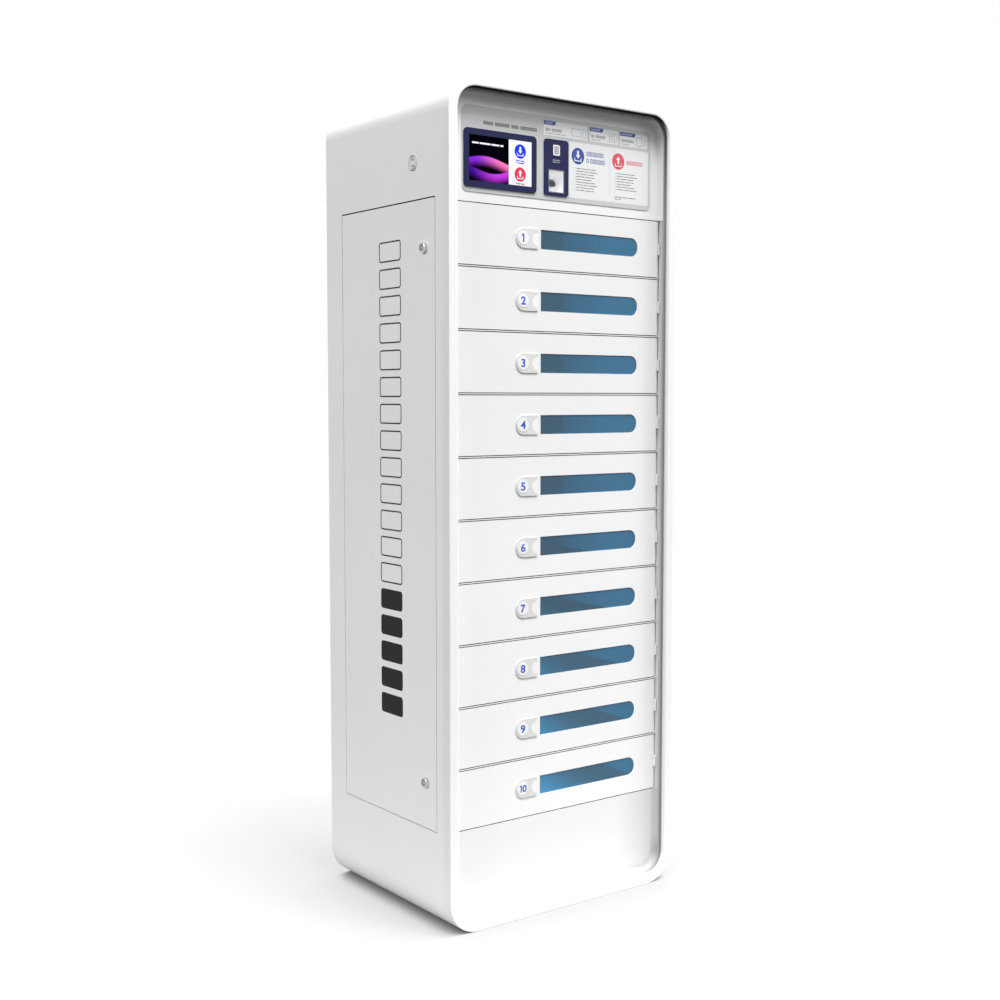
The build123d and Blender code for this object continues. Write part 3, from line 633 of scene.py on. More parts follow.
def finish_mesh(name, points, faces, finish, body, slot_name, smooth=False):
    """Puts points and faces into a mesh, turns its faces outwards and lets it ride."""
    mesh = bpy.data.meshes.new(name)
    mesh.from_pydata(points.tolist(), [], faces)
    work = bmesh.new()
    work.from_mesh(mesh)
    bmesh.ops.recalc_face_normals(work, faces=work.faces)
    work.to_mesh(mesh)
    work.free()
    mesh.polygons.foreach_set("use_smooth", np.full(len(mesh.polygons), smooth))
    mesh.materials.append(finish.material)
    piece = bpy.data.objects.new(name, mesh)
    bpy.context.scene.collection.objects.link(piece)
    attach(piece, body)
    return piece


def on_front(face_y):
    """Outlines drawn as X and Z on a face that looks to -Y."""
    def place(flat, height):
        return np.stack([flat[:, 0], face_y - height, flat[:, 1]], axis=1)
    return place


def on_left(face_x):
    """Outlines drawn as Y and Z on a face that looks to -X."""
    def place(flat, height):
        return np.stack([face_x - height, flat[:, 0], flat[:, 1]], axis=1)
    return place


def print_film(name, outlines, place, layer, finish, body, slot_name):
    """Lays outlines as one film on its layer: layer 0 lies on the surface itself."""
    points, faces, start = [], [], 0
    for outline in outlines:
        flat, height, shell = shell_of(outline, layer * film, (layer + 1) * film)
        points.append(place(flat, height))
        faces += [[start + corner for corner in face] for face in shell]
        start += len(flat)
    return finish_mesh(name, np.concatenate(points), faces, finish, body, slot_name)


print("film thickness", film / mm, "mm")

# %% [markdown]
# ## Inks
#
# Screen-printed ink is thin and even, with slight pinholes where the mesh was. The same
# function gives blue, red, white, grey and near-black ink.


# %% Ink finishes
def ink(name, base, roughness=0.4):
    """Printed ink: an even colour with a faint speckle from the printing mesh."""
    finish = Finish(name, {})
    speckle = finish.noise(0.35 * mm)
    shaded = darkened(base, 0.95)
    finish.set({"Base Color": finish.blend(speckle.step(0.4, 0.6), shaded, base)})
    finish.set({"Roughness": roughness + 0.1 * (speckle - 0.5)})
    return finish


ink_blue = ink("ink_blue", colour(44, 74, 158))
ink_digit = ink("ink_digit", colour(52, 88, 206))
ink_red = ink("ink_red", colour(222, 76, 92))
ink_white = ink("ink_white", colour(238, 239, 240))
ink_dark = ink("ink_dark", colour(24, 24, 26), roughness=0.6)
ink_dark.set({"Specular IOR Level": 0.15})
ink_grey = ink("ink_grey", colour(100, 102, 106))
# Painted shade: a dark grey for the rings and arcs that stand in for shade on the locks.
ink_ring = ink("ink_ring", colour(70, 71, 74))
ink_word = ink("ink_word", colour(40, 41, 46))
ink_pale = ink("ink_pale", colour(172, 174, 178))
disc_white = ink("disc_white", grey(253))
print("inks:", 10)

# %% [markdown]
# ## Door numbers
#
# The tag on each door has a white disc with the door's number. The digits are Blender text, made
# bolder with the font's offset, widened a little, and scaled to a height. The font's own 1 is a
# bare stem, so the 1 is drawn here, with a flag.

# %% Number the doors
digit_height = 19 * mm
digit_height_pair = 17 * mm
pair_shift = 5 * mm
digit_boldness = 0.03
digit_width = 1.12
disc_radius = 15.5 * mm
disc_inset = 4.2 * mm
lamp_radius = 16 * mm


def digit_mesh(text, height):
    """A digit as flat points and faces, centred, with its front at 0 and its back at -1."""
    curve = bpy.data.curves.new(text, "FONT")
    curve.body = text
    curve.offset = digit_boldness
    curve.extrude = 0.5
    curve.resolution_u = 6
    holder = bpy.data.objects.new(text, curve)
    bpy.context.scene.collection.objects.link(holder)
    bpy.context.view_layer.update()
    mesh = bpy.data.meshes.new_from_object(holder)
    bpy.data.objects.remove(holder)
    points = np.zeros(len(mesh.vertices) * 3)
    mesh.vertices.foreach_get("co", points)
    points = points.reshape(-1, 3)
    low, high = points.min(0), points.max(0)
    points -= (low + high) / 2
    points[:, :2] *= height / (high[1] - low[1])
    points[:, 0] *= digit_width
    return points, [list(face.vertices) for face in mesh.polygons]


def drawn_one(height):
    """The digit 1 as an outline: a stem with a slanted flag, as parts of its height."""
    shape = np.array(
        [[0.12, 0.5], [-0.06, 0.5], [-0.3, 0.33], [-0.22, 0.2], [-0.08, 0.3], [-0.08, -0.5],
         [0.12, -0.5]]
    )
    flat, depth, faces = shell_of(shape * height, -0.5, 0.5)
    return np.column_stack([flat, depth]), faces


for number in door_numbers:
    tag_low, tag_high = corners(f"tag_{number:02d}")
    disc_x, disc_z = tag_low[0] + disc_inset + disc_radius, (tag_low[2] + tag_high[2]) / 2
    height = digit_height if number < 10 else digit_height_pair
    shift = 0 if number < 10 else pair_shift
    points, faces, start = [], [], 0
    for digit, offset in zip(str(number), (-shift, shift)):
        shape, shape_faces = drawn_one(height) if digit == "1" else digit_mesh(digit, height)
        faces += [[start + corner for corner in face] for face in shape_faces]
        points.append(shape + [disc_x + offset, disc_z, 0])
        start += len(shape)
    flat = np.concatenate(points)
    depth = tag_low[1] - (flat[:, 2] + 0.5) * film
    placed = np.stack([flat[:, 0], depth, flat[:, 1]], axis=1)
    body = f"locker_door_{number:02d}"
    finish_mesh(f"number_{number:02d}", placed, faces, ink_digit, body, "ink_blue")
print("numbered", len(door_numbers), "doors")

# %% [markdown]
# ## White caps on the tags
#
# The number disc and the half-round lamp are white, while the plate round them is grey. They
# are one piece with the plate in the model, so a white film covers the face of each.

# %% Cap the disc and the lamp
lamp_face = 0.5 * mm
cap_inset = 0.15 * mm


def half_disc(middle, radius, points=33):
    """The left half of a circle, closed by its diameter."""
    angle = np.linspace(math.pi / 2, 1.5 * math.pi, points)
    return np.array(middle) + radius * np.stack([np.cos(angle), np.sin(angle)], axis=1)


for number in door_numbers:
    body = f"locker_door_{number:02d}"
    tag_low, tag_high = corners(f"tag_{number:02d}")
    middle_z = (tag_low[2] + tag_high[2]) / 2
    disc = disc_outline((tag_low[0] + disc_inset + disc_radius, middle_z), disc_radius - cap_inset)
    lamp = half_disc((tag_high[0] - cap_inset, middle_z), lamp_radius - cap_inset)
    disc_front = on_front(tag_low[1] + 0.5 * film)
    print_film(f"number_disc_{number:02d}", [disc], disc_front, 0, disc_white, body, "ink_white")
    lamp_front = on_front(tag_low[1] + 2 * lamp_face)
    print_film(f"lamp_cap_{number:02d}", [lamp], lamp_front, 0, disc_white, body, "ink_white")
print("caps on", len(door_numbers), "tags")

# %% [markdown]
# ## The head panel's print
#
# The panel explains how the locker is used. Dummy text stands for small print as rows of short
# bars and for headings as rows of small frames, and arrows stand for storing and taking out.

# %% Dummy text and arrows
overlay_front = overlay_low[1]
head = on_front(overlay_front)


def words(left, middle_z, height, lengths, gap):
    """A line of dummy words: bars of the given lengths, one after the other."""
    starts = left + np.concatenate([[0], np.cumsum(np.array(lengths[:-1]) + gap)])
    return [
        rounded_box((start + length / 2, middle_z), (length, height), height * 0.3, points=3)
        for start, length in zip(starts, lengths)
    ]


def frame_of(middle, size, radius, stroke, points=7):
    """A rounded frame: an outer box and an inner one."""
    inner, inner_radius = np.array(size) - 2 * stroke, max(radius - stroke, 0.1 * stroke)
    return (
        rounded_box(middle, size, radius, points), rounded_box(middle, inner, inner_radius, points)
    )


def letters(left, middle_z, size, pitch, counts, stroke, word_gap):
    """Dummy capitals: small upright frames, so many to each word, one every pitch."""
    starts, x = [], left
    for count in counts:
        starts += [x + pitch * place for place in range(count)]
        x += pitch * count + word_gap
    middles = [(start + size[0] / 2, middle_z) for start in starts]
    return [frame_of(middle, size, 0.3 * size[0], stroke, points=3) for middle in middles]


def arrow(middle, size, up):
    """A stout arrow that points up or down: a shaft and a head in one outline."""
    half, neck, tip = 0.5 * size, 0.16 * size, 0.36 * size
    shape = np.array(
        [[-neck, half], [-neck, -0.05 * size], [-tip, -0.05 * size], [0, -half],
         [tip, -0.05 * size], [neck, -0.05 * size], [neck, half]]
    )
    if up:
        shape = shape * [1, -1]
        shape = shape[::-1]
    return np.array(middle) + shape


def tray(middle, size):
    """An open tray: a floor and two short walls in one outline."""
    half, wall, rise = 0.5 * size, 0.1 * size, 0.26 * size
    shape = np.array(
        [[-half, rise], [-half, -wall], [half, -wall], [half, rise],
         [half - wall, rise], [half - wall, 0], [wall - half, 0], [wall - half, rise]]
    )
    return np.array(middle) + shape


def sign(middle, radius, up):
    """The two shapes on a round sign: an arrow over a tray."""
    x, z = middle
    return [
        arrow((x, z + 0.16 * radius), 0.95 * radius, up),
        tray((x, z - 0.52 * radius), 1.1 * radius),
    ]


print("points in an arrow:", len(arrow((0, 0), 1, True)))

# %% [markdown]
# ## Cards and columns
#
# Along the top of the panel stand three cards, each with a slanted tab, two lines of dummy text
# and the outlines of devices. Under them is a white field with two columns, one for storing in
# blue and one for taking out in red.

# %% Lay out the cards
field_low = np.array([reader_high[0] + 3.7 * mm, bezel_low[2]])
field_high = np.array([overlay_high[0] - 7.0 * mm, bezel_high[2] + 1.0 * mm])
card_bottom = bezel_high[2] + 8.2 * mm
card_top = overlay_high[2] - 9.5 * mm
card_middle_z = (card_bottom + card_top) / 2
card_edges = [
    (reader_low[0], reader_high[0] + 57.7 * mm),
    (reader_high[0] + 66 * mm, reader_high[0] + 153.7 * mm),
    (reader_high[0] + 159.8 * mm, reader_high[0] + 246.8 * mm),
]
tab_height = 9.0 * mm
tab_lengths = [36 * mm, 42 * mm, 50 * mm]
tab_slant = 4 * mm
tab_letter, tab_pitch = (2.4 * mm, 4.0 * mm), 3.5 * mm
card_letter = (3.7 * mm, 6.2 * mm)
card_words = [(3, 6), (2, 6), (8,)]
small_lines = [(26, 17, 12), (17, 8), (14, 9)]
# Each device: distance from the card's right edge, height over its bottom, width and height.
devices = [
    [(33, 14.5, 28, 17), (9, 14.5, 9, 20)],
    [(16.5, 14.5, 22, 19), (16.5, 14.5, 10, 10)],
    [(26, 14.5, 17, 20), (9.5, 13.5, 7, 16)],
]
white_print, blue_print, grey_print, dark_print, red_print = [], [], [], [], []
ink_on_tab = []
for (left, right), tab, counts, line, shapes in zip(
    card_edges, tab_lengths, card_words, small_lines, devices
):
    middle = ((left + right) / 2, card_middle_z)
    size = (right - left, card_top - card_bottom)
    white_print.append(rounded_box(middle, size, 2.5 * mm))
    tab_low = card_top - tab_height
    blue_print.append(
        np.array(
            [[left, card_top], [left, tab_low], [left + tab - tab_slant, tab_low],
             [left + tab, card_top]]
        )
    )
    tab_letters = int((tab - 12 * mm) / tab_pitch)
    ink_on_tab += letters(
        left + 4 * mm, card_top - tab_height / 2, tab_letter, tab_pitch, [tab_letters], 0.5 * mm, 0
    )
    text_left = left + 4.5 * mm
    dark_print += letters(
        text_left, card_bottom + 12.5 * mm, card_letter, 4.9 * mm, counts, 0.9 * mm, 4 * mm
    )
    line_lengths = np.array(line) * mm
    grey_print += words(text_left, card_bottom + 4.5 * mm, 1.1 * mm, line_lengths, 2 * mm)
    for from_right, rise, width, height in shapes:
        place = (right - from_right * mm, card_bottom + rise * mm)
        grey_print.append(frame_of(place, (width * mm, height * mm), 1.6 * mm, 0.7 * mm))
print("cards:", len(card_edges))

# %% Lay out the two columns
field_middle = (field_low + field_high) / 2
white_print.append(rounded_box(field_middle, field_high - field_low, 4 * mm))
sign_radius = 19 * mm
sign_z = field_high[1] - 31 * mm
blue_x, red_x = field_low[0] + 26 * mm, field_low[0] + 150.4 * mm
divider_x = field_low[0] + 124 * mm
blue_print.append(disc_outline((blue_x, sign_z), sign_radius))
red_print.append(disc_outline((red_x, sign_z), sign_radius))
white_signs = sign((blue_x, sign_z), sign_radius, False) + sign((red_x, sign_z), sign_radius, True)
title_x = sign_radius + 7 * mm
capital, capital_pitch, capital_stroke = (6.1 * mm, 10.2 * mm), 7.6 * mm, 1.5 * mm
for rise, counts in ((8 * mm, (7,)), (-8 * mm, (1, 6))):
    blue_print += letters(
        blue_x + title_x, sign_z + rise, capital, capital_pitch, counts, capital_stroke, 4 * mm
    )
red_print += letters(
    red_x + title_x, sign_z, (5.2 * mm, 9.6 * mm), 6.5 * mm, (8,), 1.4 * mm, 0
)
divider_size = (0.3 * mm, 0.66 * (field_high - field_low)[1])
grey_print.append(box_outline((divider_x, field_middle[1] - 4 * mm), divider_size))
line_pitch = 6.2 * mm
list_top = sign_z - sign_radius - 9 * mm
column_lines = {blue_x: 9, red_x: 7}
line_lengths = [[16, 24, 14], [22, 12, 26], [11, 19, 20], [25, 17, 9], [14, 30]]
for column, lines in column_lines.items():
    for row in range(lines):
        lengths = np.array(line_lengths[row % len(line_lengths)]) * mm
        row_z = list_top - row * line_pitch
        grey_print += words(column - 5 * mm, row_z, 1.5 * mm, lengths, 2 * mm)
        grey_print.append(disc_outline((column - 9.5 * mm, row_z), 0.9 * mm, points=12))
foot_left = red_x - 11 * mm
foot_lengths = [22 * mm, 16 * mm, 26 * mm]
grey_print += words(foot_left, field_low[1] + 14 * mm, 1.5 * mm, foot_lengths, 2 * mm)
grey_print += words(foot_left, field_low[1] + 9 * mm, 1.5 * mm, [11 * mm, 8 * mm], 2 * mm)
dark_print += letters(
    bezel_low[0] + 54 * mm, card_bottom + 7 * mm, (5.2 * mm, 7.4 * mm), 6.8 * mm, (4, 6, 3, 7),
    1.7 * mm, 5 * mm,
)
print("printed shapes:", len(white_print) + len(blue_print) + len(grey_print))

# %% Print the head panel
head_layers = {
    "white": (white_print, 0, ink_white, "ink_white"),
    "blue": (blue_print, 1, ink_blue, "ink_blue"),
    "red": (red_print, 1, ink_red, "ink_red"),
    "grey": (grey_print, 1, ink_grey, "ink_dark"),
    "dark": (dark_print, 1, ink_word, "ink_dark"),
    "signs": (white_signs + ink_on_tab, 2, ink_white, "ink_white"),
}
for name, (outlines, layer, finish, slot_name) in head_layers.items():
    print_film(f"head_print_{name}", outlines, head, layer, finish, "cabinet", slot_name)
print("printed layers:", len(head_layers))

# %% [markdown]
# ## The reader's plate
#
# Above the reader's window is a small white symbol, a plain key pad, and two short lines. A thin
# grey line runs round the window.

# %% Print the reader's plate
reader_front = on_front(reader_low[1])
reader_x = (reader_low[0] + reader_high[0]) / 2
symbol_z = reader_high[2] - 24 * mm
symbol_white = [rounded_box((reader_x, symbol_z), (20 * mm, 24 * mm), 3 * mm)]
symbol_words = words(reader_x - 11 * mm, symbol_z - 22.5 * mm, 2 * mm, [9 * mm, 11 * mm], 1.5 * mm)
symbol_words += words(reader_x - 11 * mm, symbol_z - 27 * mm, 2 * mm, [13 * mm, 4 * mm], 3 * mm)
key_x, key_z = np.meshgrid(np.array([-4.4, 0, 4.4]) * mm, np.array([-6.6, -2.2, 2.2, 6.6]) * mm)
symbol_keys = [
    rounded_box((reader_x + x, symbol_z + z), (3.2 * mm, 3.2 * mm), 0.8 * mm, points=3)
    for x, z in zip(key_x.ravel(), key_z.ravel())
]
pane_middle, pane_size = (pane_low + pane_high)[[0, 2]] / 2, (pane_high - pane_low)[[0, 2]]
window_edge = (
    rounded_box(pane_middle, pane_size + 3.2 * mm, 0.6 * mm),
    rounded_box(pane_middle, pane_size + 1.2 * mm, 0.4 * mm),
)
print_film("reader_print_white", symbol_white, reader_front, 0, ink_white, "cabinet", "ink_white")
print_film("reader_print_keys", symbol_keys, reader_front, 1, ink_grey, "cabinet", "ink_dark")
print_film("reader_print_words", symbol_words, reader_front, 0, ink_pale, "cabinet", "ink_white")
print_film("reader_window_edge", [window_edge], reader_front, 0, ink_grey, "cabinet", "ink_dark")
print("keys on the reader's symbol:", len(symbol_keys))

# %% [markdown]
# ## The screen
#
# The screen shows a dark field with two soft waves of colour, and a white column with two round
# buttons. The waves are a formula: a sine sets the height of each crest along the screen, and a
# soft step below it fades the colour out. A screen makes its own light, so the colour also goes
# to the emission socket.

# %% Paint the screen's picture
screen_border = 8.2 * mm
face_low = screen_low[[0, 2]] + screen_border
face_high = screen_high[[0, 2]] - screen_border
face_size = face_high - face_low
column_left = face_low[0] + 0.628 * face_size[0]
screen_front = on_front(screen_low[1])


def glowing(name, picture_of, glow):
    """A lit screen area: its picture is its colour and its light."""
    finish = Finish(name, {"Roughness": 0.3, "Emission Strength": glow})
    finish.set({"Specular IOR Level": 0.0})
    picture = picture_of(finish)
    dim = finish.blend(0.85, picture, black)
    finish.set({"Base Color": dim, "Emission Color": picture})
    return finish


def waves(finish):
    """Two waves of pink and violet over black: height minus a sine crest, cut by a soft step."""
    across = (finish.along("X") - float(face_low[0])) * float(1 / (column_left - face_low[0]))
    height = (finish.along("Z") - float(face_low[1])) * float(1 / face_size[1])
    high_crest = 0.44 + 0.10 * (across * 3.1 + 0.4).sum("SINE")
    low_crest = 0.24 + 0.07 * (across * 4.3 + 2.2).sum("SINE")
    over_high, over_low = height - high_crest, height - low_crest
    high_wave = (over_high + 0.24).step(0.0, 0.24) * (1 - over_high.step(0.0, 0.03))
    low_wave = (over_low + 0.26).step(0.0, 0.26) * (1 - over_low.step(0.0, 0.03))
    pink = finish.blend(across.step(0.1, 0.9), colour(128, 40, 214), colour(255, 120, 190))
    violet = finish.blend(across.step(0.0, 0.8), colour(58, 16, 150), colour(196, 60, 226))
    first = finish.blend(high_wave, colour(4, 3, 10), pink)
    return finish.blend(low_wave, first, violet)


def plain(red, green, blue):
    """A screen area of one colour, with a faint drift from top to bottom."""
    def picture(finish):
        height = finish.along("Z").step(float(face_low[1]), float(face_high[1]))
        shaded = colour(red * 0.97, green * 0.97, blue * 0.97)
        return finish.blend(height, shaded, colour(red, green, blue))
    return picture


lit_waves = glowing("screen_waves", waves, 1.0)
lit_white = glowing("screen_white", plain(246, 248, 255), 0.95)
lit_blue = glowing("screen_blue", plain(36, 66, 232), 0.95)
lit_red = glowing("screen_red", plain(226, 70, 88), 0.95)
print("screen face", face_size / mm, "mm")

# %% Lay out the screen
dark_middle = ((face_low[0] + column_left) / 2, (face_low[1] + face_high[1]) / 2)
dark_area = box_outline(dark_middle, (column_left - face_low[0], face_size[1]))
column_middle = ((column_left + face_high[0]) / 2, dark_middle[1])
column_area = box_outline(column_middle, (face_high[0] - column_left, face_size[1]))
button_radius = 16 * mm
upper_button = (column_middle[0], column_middle[1] + 26 * mm)
lower_button = (column_middle[0], column_middle[1] - 25 * mm)
blue_shapes = [disc_outline(upper_button, button_radius)]
red_shapes = [disc_outline(lower_button, button_radius)]
captions = [
    (blue_shapes, upper_button, 21 * mm, [11, 11]),
    (blue_shapes, upper_button, 26 * mm, [4, 18]),
    (red_shapes, lower_button, 21 * mm, [13, 9]),
]
for shapes, (x, z), drop, lengths in captions:
    shapes += words(x - 12 * mm, z - drop, 2.4 * mm, np.array(lengths) * mm, 2 * mm)
title_lengths = np.array([18, 30, 22, 9]) * mm
title = words(face_low[0] + 8 * mm, face_high[1] - 17 * mm, 3.6 * mm, title_lengths, 2.4 * mm)
screen_edge = frame_of((face_low + face_high) / 2, face_size + 2.6 * mm, 2.2 * mm, 0.7 * mm)
button_signs = sign(upper_button, button_radius, False) + sign(lower_button, button_radius, True)
print_film("screen_picture", [dark_area], screen_front, 0, lit_waves, "cabinet", "screen_glass")
print_film("screen_column", [column_area], screen_front, 0, lit_white, "cabinet", "screen_glass")
print_film("screen_blue_marks", blue_shapes, screen_front, 1, lit_blue, "cabinet", "ink_blue")
print_film("screen_red_marks", red_shapes, screen_front, 1, lit_red, "cabinet", "ink_red")
print_film("screen_edge", [screen_edge], screen_front, 0, ink_pale, "cabinet", "ink_white")
screen_marks = button_signs + title
print_film("screen_white_marks", screen_marks, screen_front, 2, lit_white, "cabinet", "ink_white")
print("screen laid out")

# %% [markdown]
# ## The gauge on the side
#
# The service door carries a tall dark print. Here it is a charge gauge: solid cells at the
# bottom, then outlined ones above, all the same size. It is printed on the door, so it rides on
# the door.

# %% Print the side gauge
service_low, service_high = corners("service_door")
gauge_middle_y = -24.5 * mm
gauge_bottom, gauge_top = 464 * mm, 1560 * mm
gauge_width = 92 * mm
cell_count = 18
solid_cells = 5
cell_gap = 15 * mm
cell_round = 8 * mm
stroke = 3.2 * mm
cell_pitch = (gauge_top - gauge_bottom + cell_gap) / cell_count
cell_size = np.array([gauge_width, cell_pitch - cell_gap])
cells = []
for cell in range(cell_count):
    middle = (gauge_middle_y, gauge_bottom + cell * cell_pitch + cell_size[1] / 2)
    outlined = frame_of(middle, cell_size, cell_round, stroke)
    cells.append(outlined[0] if cell < solid_cells else outlined)
side = on_left(service_low[0])
print_film("side_gauge", cells, side, 0, ink_dark, "service_door_leaf", "ink_dark")
print("gauge cells:", len(cells))

# %% [markdown]
# ## Rings on the locks
#
# Bright metal in a white room shows little of its shape. Thin dark rings are painted shade at
# the grooves round the cores and on the lock heads, and the arcs and thin grey rings over the key
# switch's rings are its painted shade. Each lies on the face of its own piece and rides its body.


# %% Ring the locks
def ring(middle, outer, width):
    """A flat ring: its outer edge and its inner edge."""
    return disc_outline(middle, outer), disc_outline(middle, outer - width)


def turning_middle(node):
    """Where a lock turns: half its width in from its sides and from its top."""
    low, high = corners(node)
    half = (high[1] - low[1]) / 2
    return low[1] + half, high[2] - half


def arc(middle, outer, width, start, end, points=20):
    """Part of a ring, between two angles in degrees, as one outline."""
    angle = np.radians(np.linspace(start, end, points))
    spokes = np.stack([np.cos(angle), np.sin(angle)], axis=1)
    return np.array(middle) + np.concatenate([outer * spokes, (outer - width) * spokes[::-1]])


lock_rings = {
    "upper_lock_core": ("upper_cam_lock", [(5.9 * mm, 1.9 * mm)]),
    "lower_lock_core": ("lower_cam_lock", [(5.9 * mm, 1.9 * mm)]),
}
for node, (body, rings) in lock_rings.items():
    outlines = [ring(turning_middle(node), outer, width) for outer, width in rings]
    face = on_left(corners(node)[0][0])
    print_film(f"{node}_ring", outlines, face, 0, ink_ring, body, "ink_dark")
cores = ("upper_lock_core", "lower_lock_core")
head_shade_rings = [ring(turning_middle(node), 8.6 * mm, 1.6 * mm) for node in cores]
head_face = on_left(corners("lock_sleeves")[0][0])
print_film("lock_head_rings", head_shade_rings, head_face, 0, ink_ring, "service_door_leaf", "ink_dark")
# Each arc: its outer radius and its width in millimetres, and its first and last angle.
switch_arcs = {
    "key_switch_bezel": [
        (17.2, 2.2, 50, 132), (17.2, 2.2, 222, 300), (12.4, 1.8, 55, 120), (12.4, 1.8, 215, 290)
    ],
    "key_switch_core": [(8.2, 2.6, 65, 115), (8.2, 2.8, 235, 290)],
}
switch_rings = {"key_switch_bezel": [(17.3, 0.9), (12.6, 1.0)], "key_switch_core": [(8.3, 1.2)]}
switch_bodies = {"key_switch_bezel": "cabinet", "key_switch_core": "key_switch_barrel"}
for node, arcs in switch_arcs.items():
    middle, face = turning_middle(node), on_left(corners(node)[0][0])
    thin = [ring(middle, outer * mm, width * mm) for outer, width in switch_rings[node]]
    print_film(f"{node}_rings", thin, face, 0, ink_grey, switch_bodies[node], "ink_dark")
    dark = [arc(middle, outer * mm, width * mm, start, end) for outer, width, start, end in arcs]
    print_film(f"{node}_shade", dark, face, 1, ink_ring, switch_bodies[node], "ink_dark")
print("ringed", len(lock_rings) + len(switch_arcs), "pieces and the lock heads")

# %% [markdown]
# ## Strips behind the hinge gap
#
# A thin white strip behind each door's hinge edge closes the gap beside the door, so that the
# dark bay doesn't show through. It stands clear of the door's swing.

# %% Close the hinge gap
lip_x = rim_high[0] - rim_width
strip_x = (lip_x - 5.5 * mm, lip_x - 1.4 * mm)
strip_y = (overlay_high[1] + 3.2 * mm, overlay_high[1] + 4.2 * mm)


def box_meshes(boxes):
    """Points and faces of many boxes, each given by its lowest and its highest corner."""
    corner = np.array([[x, y, z] for x in (0, 1) for y in (0, 1) for z in (0, 1)])
    sides = [[0, 1, 3, 2], [4, 6, 7, 5], [0, 4, 5, 1], [2, 3, 7, 6], [0, 2, 6, 4], [1, 5, 7, 3]]
    boxes = np.array(boxes)
    low, high = boxes[:, :1], boxes[:, 1:]
    start = 8 * np.arange(len(boxes))[:, None, None]
    points = (low + corner * (high - low)).reshape(-1, 3)
    return points, (start + np.array(sides)).reshape(-1, 4).tolist()


strips = []
for name in door_names:
    door_low, door_high = corners(name)
    low, high = zip(strip_x, strip_y, (door_low[2], door_high[2]))
    strips.append((low, high))
finish_mesh("hinge_gap_strips", *box_meshes(strips), door_white, "cabinet", "door_white")
print("strips:", len(strips))

# %% [markdown]
# ## Dark strips in the seams
#
# A thin dark strip lies half a millimetre deep in the seam over and under each door, and another
# over the service door. The strips are painted shade: they make the seams read as even dark lines.

# %% Shade the seams
door_gap = 2.1 * mm
service_gap = 3.0 * mm
shade_strip_step = 0.05 * mm
door_shade_strip = (0.5 * mm, 1.1 * mm)
service_shade_strip = (1.0 * mm, 1.6 * mm)
seam_right = 301.8 * mm
rail_front = corners("door_frame")[0][1]
shade_strips = []
for name in door_names:
    door_low, door_high = corners(name)
    for gap_low in (door_low[2] - door_gap, door_high[2]):
        low = (door_low[0], rail_front + door_shade_strip[0], gap_low + shade_strip_step)
        high = (seam_right, rail_front + door_shade_strip[1], gap_low + door_gap - shade_strip_step)
        shade_strips.append((low, high))
low = (service_low[0] + service_shade_strip[0], service_low[1], service_high[2] + shade_strip_step)
high_z = service_high[2] + service_gap - shade_strip_step
shade_strips.append((low, (service_low[0] + service_shade_strip[1], service_high[1], high_z)))
finish_mesh("seam_seals", *box_meshes(shade_strips), seal_grey, "cabinet", "black_plastic")
print("seals:", len(shade_strips))

# %% [markdown]
# ## Screws at the back
#
# Pan-head screws hold the rear panel. A screw head is a dome over a disc, with a cross cut into
# it. Both are a height worked out at each point of a polar grid, so one array gives the whole
# head, and one mesh holds them all.

# %% Screw the rear panel
screw_radius = 4.2 * mm
screw_height = 2.2 * mm
cross_length = 2.4 * mm
cross_width = 0.6 * mm
cross_depth = 1.3 * mm


def screw_head(rings=13, spokes=48):
    """Height over a disc: an ellipse's arc, less a cross that fades out at its ends."""
    radius = screw_radius * np.sin(np.linspace(0, math.pi / 2, rings))[1:, None]
    angle = np.linspace(0, 2 * math.pi, spokes, endpoint=False)[None, :]
    u, v = radius * np.cos(angle), radius * np.sin(angle)
    dome = screw_height * np.sqrt(np.clip(1 - (radius / screw_radius) ** 2, 0, 1) * 0.75 + 0.25)
    dome = np.where(radius < screw_radius, dome, 0) + 0 * u
    in_cross = np.minimum(np.abs(u), np.abs(v)) < cross_width
    fade = np.clip((cross_length - radius) / cross_width, 0, 1)
    height = dome - cross_depth * in_cross * fade
    top = np.stack([u, v, height], axis=2).reshape(-1, 3)
    middle = [[0, 0, screw_height - cross_depth]]
    points = np.concatenate([top, middle])
    here = np.arange(spokes)
    after = (here + 1) % spokes
    start = np.arange(rings - 2)[:, None] * spokes
    quads = np.stack(
        [start + here, start + spokes + here, start + spokes + after, start + after], axis=2
    ).reshape(-1, 4).tolist()
    fan = np.stack([np.full(spokes, len(top)), here, after], axis=1).tolist()
    rim_loop = ((rings - 2) * spokes + here[::-1]).tolist()
    return points, quads + fan + [rim_loop]


panel_low, panel_high = corners("rear_panel")
screw_inset = 13 * mm
corner_inset = 110 * mm
columns = np.linspace(panel_low[0] + corner_inset, panel_high[0] - corner_inset, 3)
rows = np.linspace(panel_low[2] + corner_inset, panel_high[2] - corner_inset, 5)
left, low, right, high = (
    panel_low[0] + screw_inset, panel_low[2] + screw_inset,
    panel_high[0] - screw_inset, panel_high[2] - screw_inset,
)
screw_places = [(x, z) for x in columns for z in (low, high)]
screw_places += [(x, z) for z in rows for x in (left, right)]
head_points, head_faces = screw_head()
all_points, all_faces = [], []
for index, (x, z) in enumerate(screw_places):
    turn = 0.7 * index
    u = head_points[:, 0] * math.cos(turn) - head_points[:, 1] * math.sin(turn)
    v = head_points[:, 0] * math.sin(turn) + head_points[:, 1] * math.cos(turn)
    all_points.append(np.stack([x - u, panel_high[1] + head_points[:, 2], z + v], axis=1))
    start = index * len(head_points)
    all_faces += [[start + corner for corner in face] for face in head_faces]
finish_mesh(
    "rear_panel_screws", np.concatenate(all_points), all_faces, plated_steel, "cabinet",
    "plated_steel", smooth=True,
)
print("rear screws:", len(screw_places))

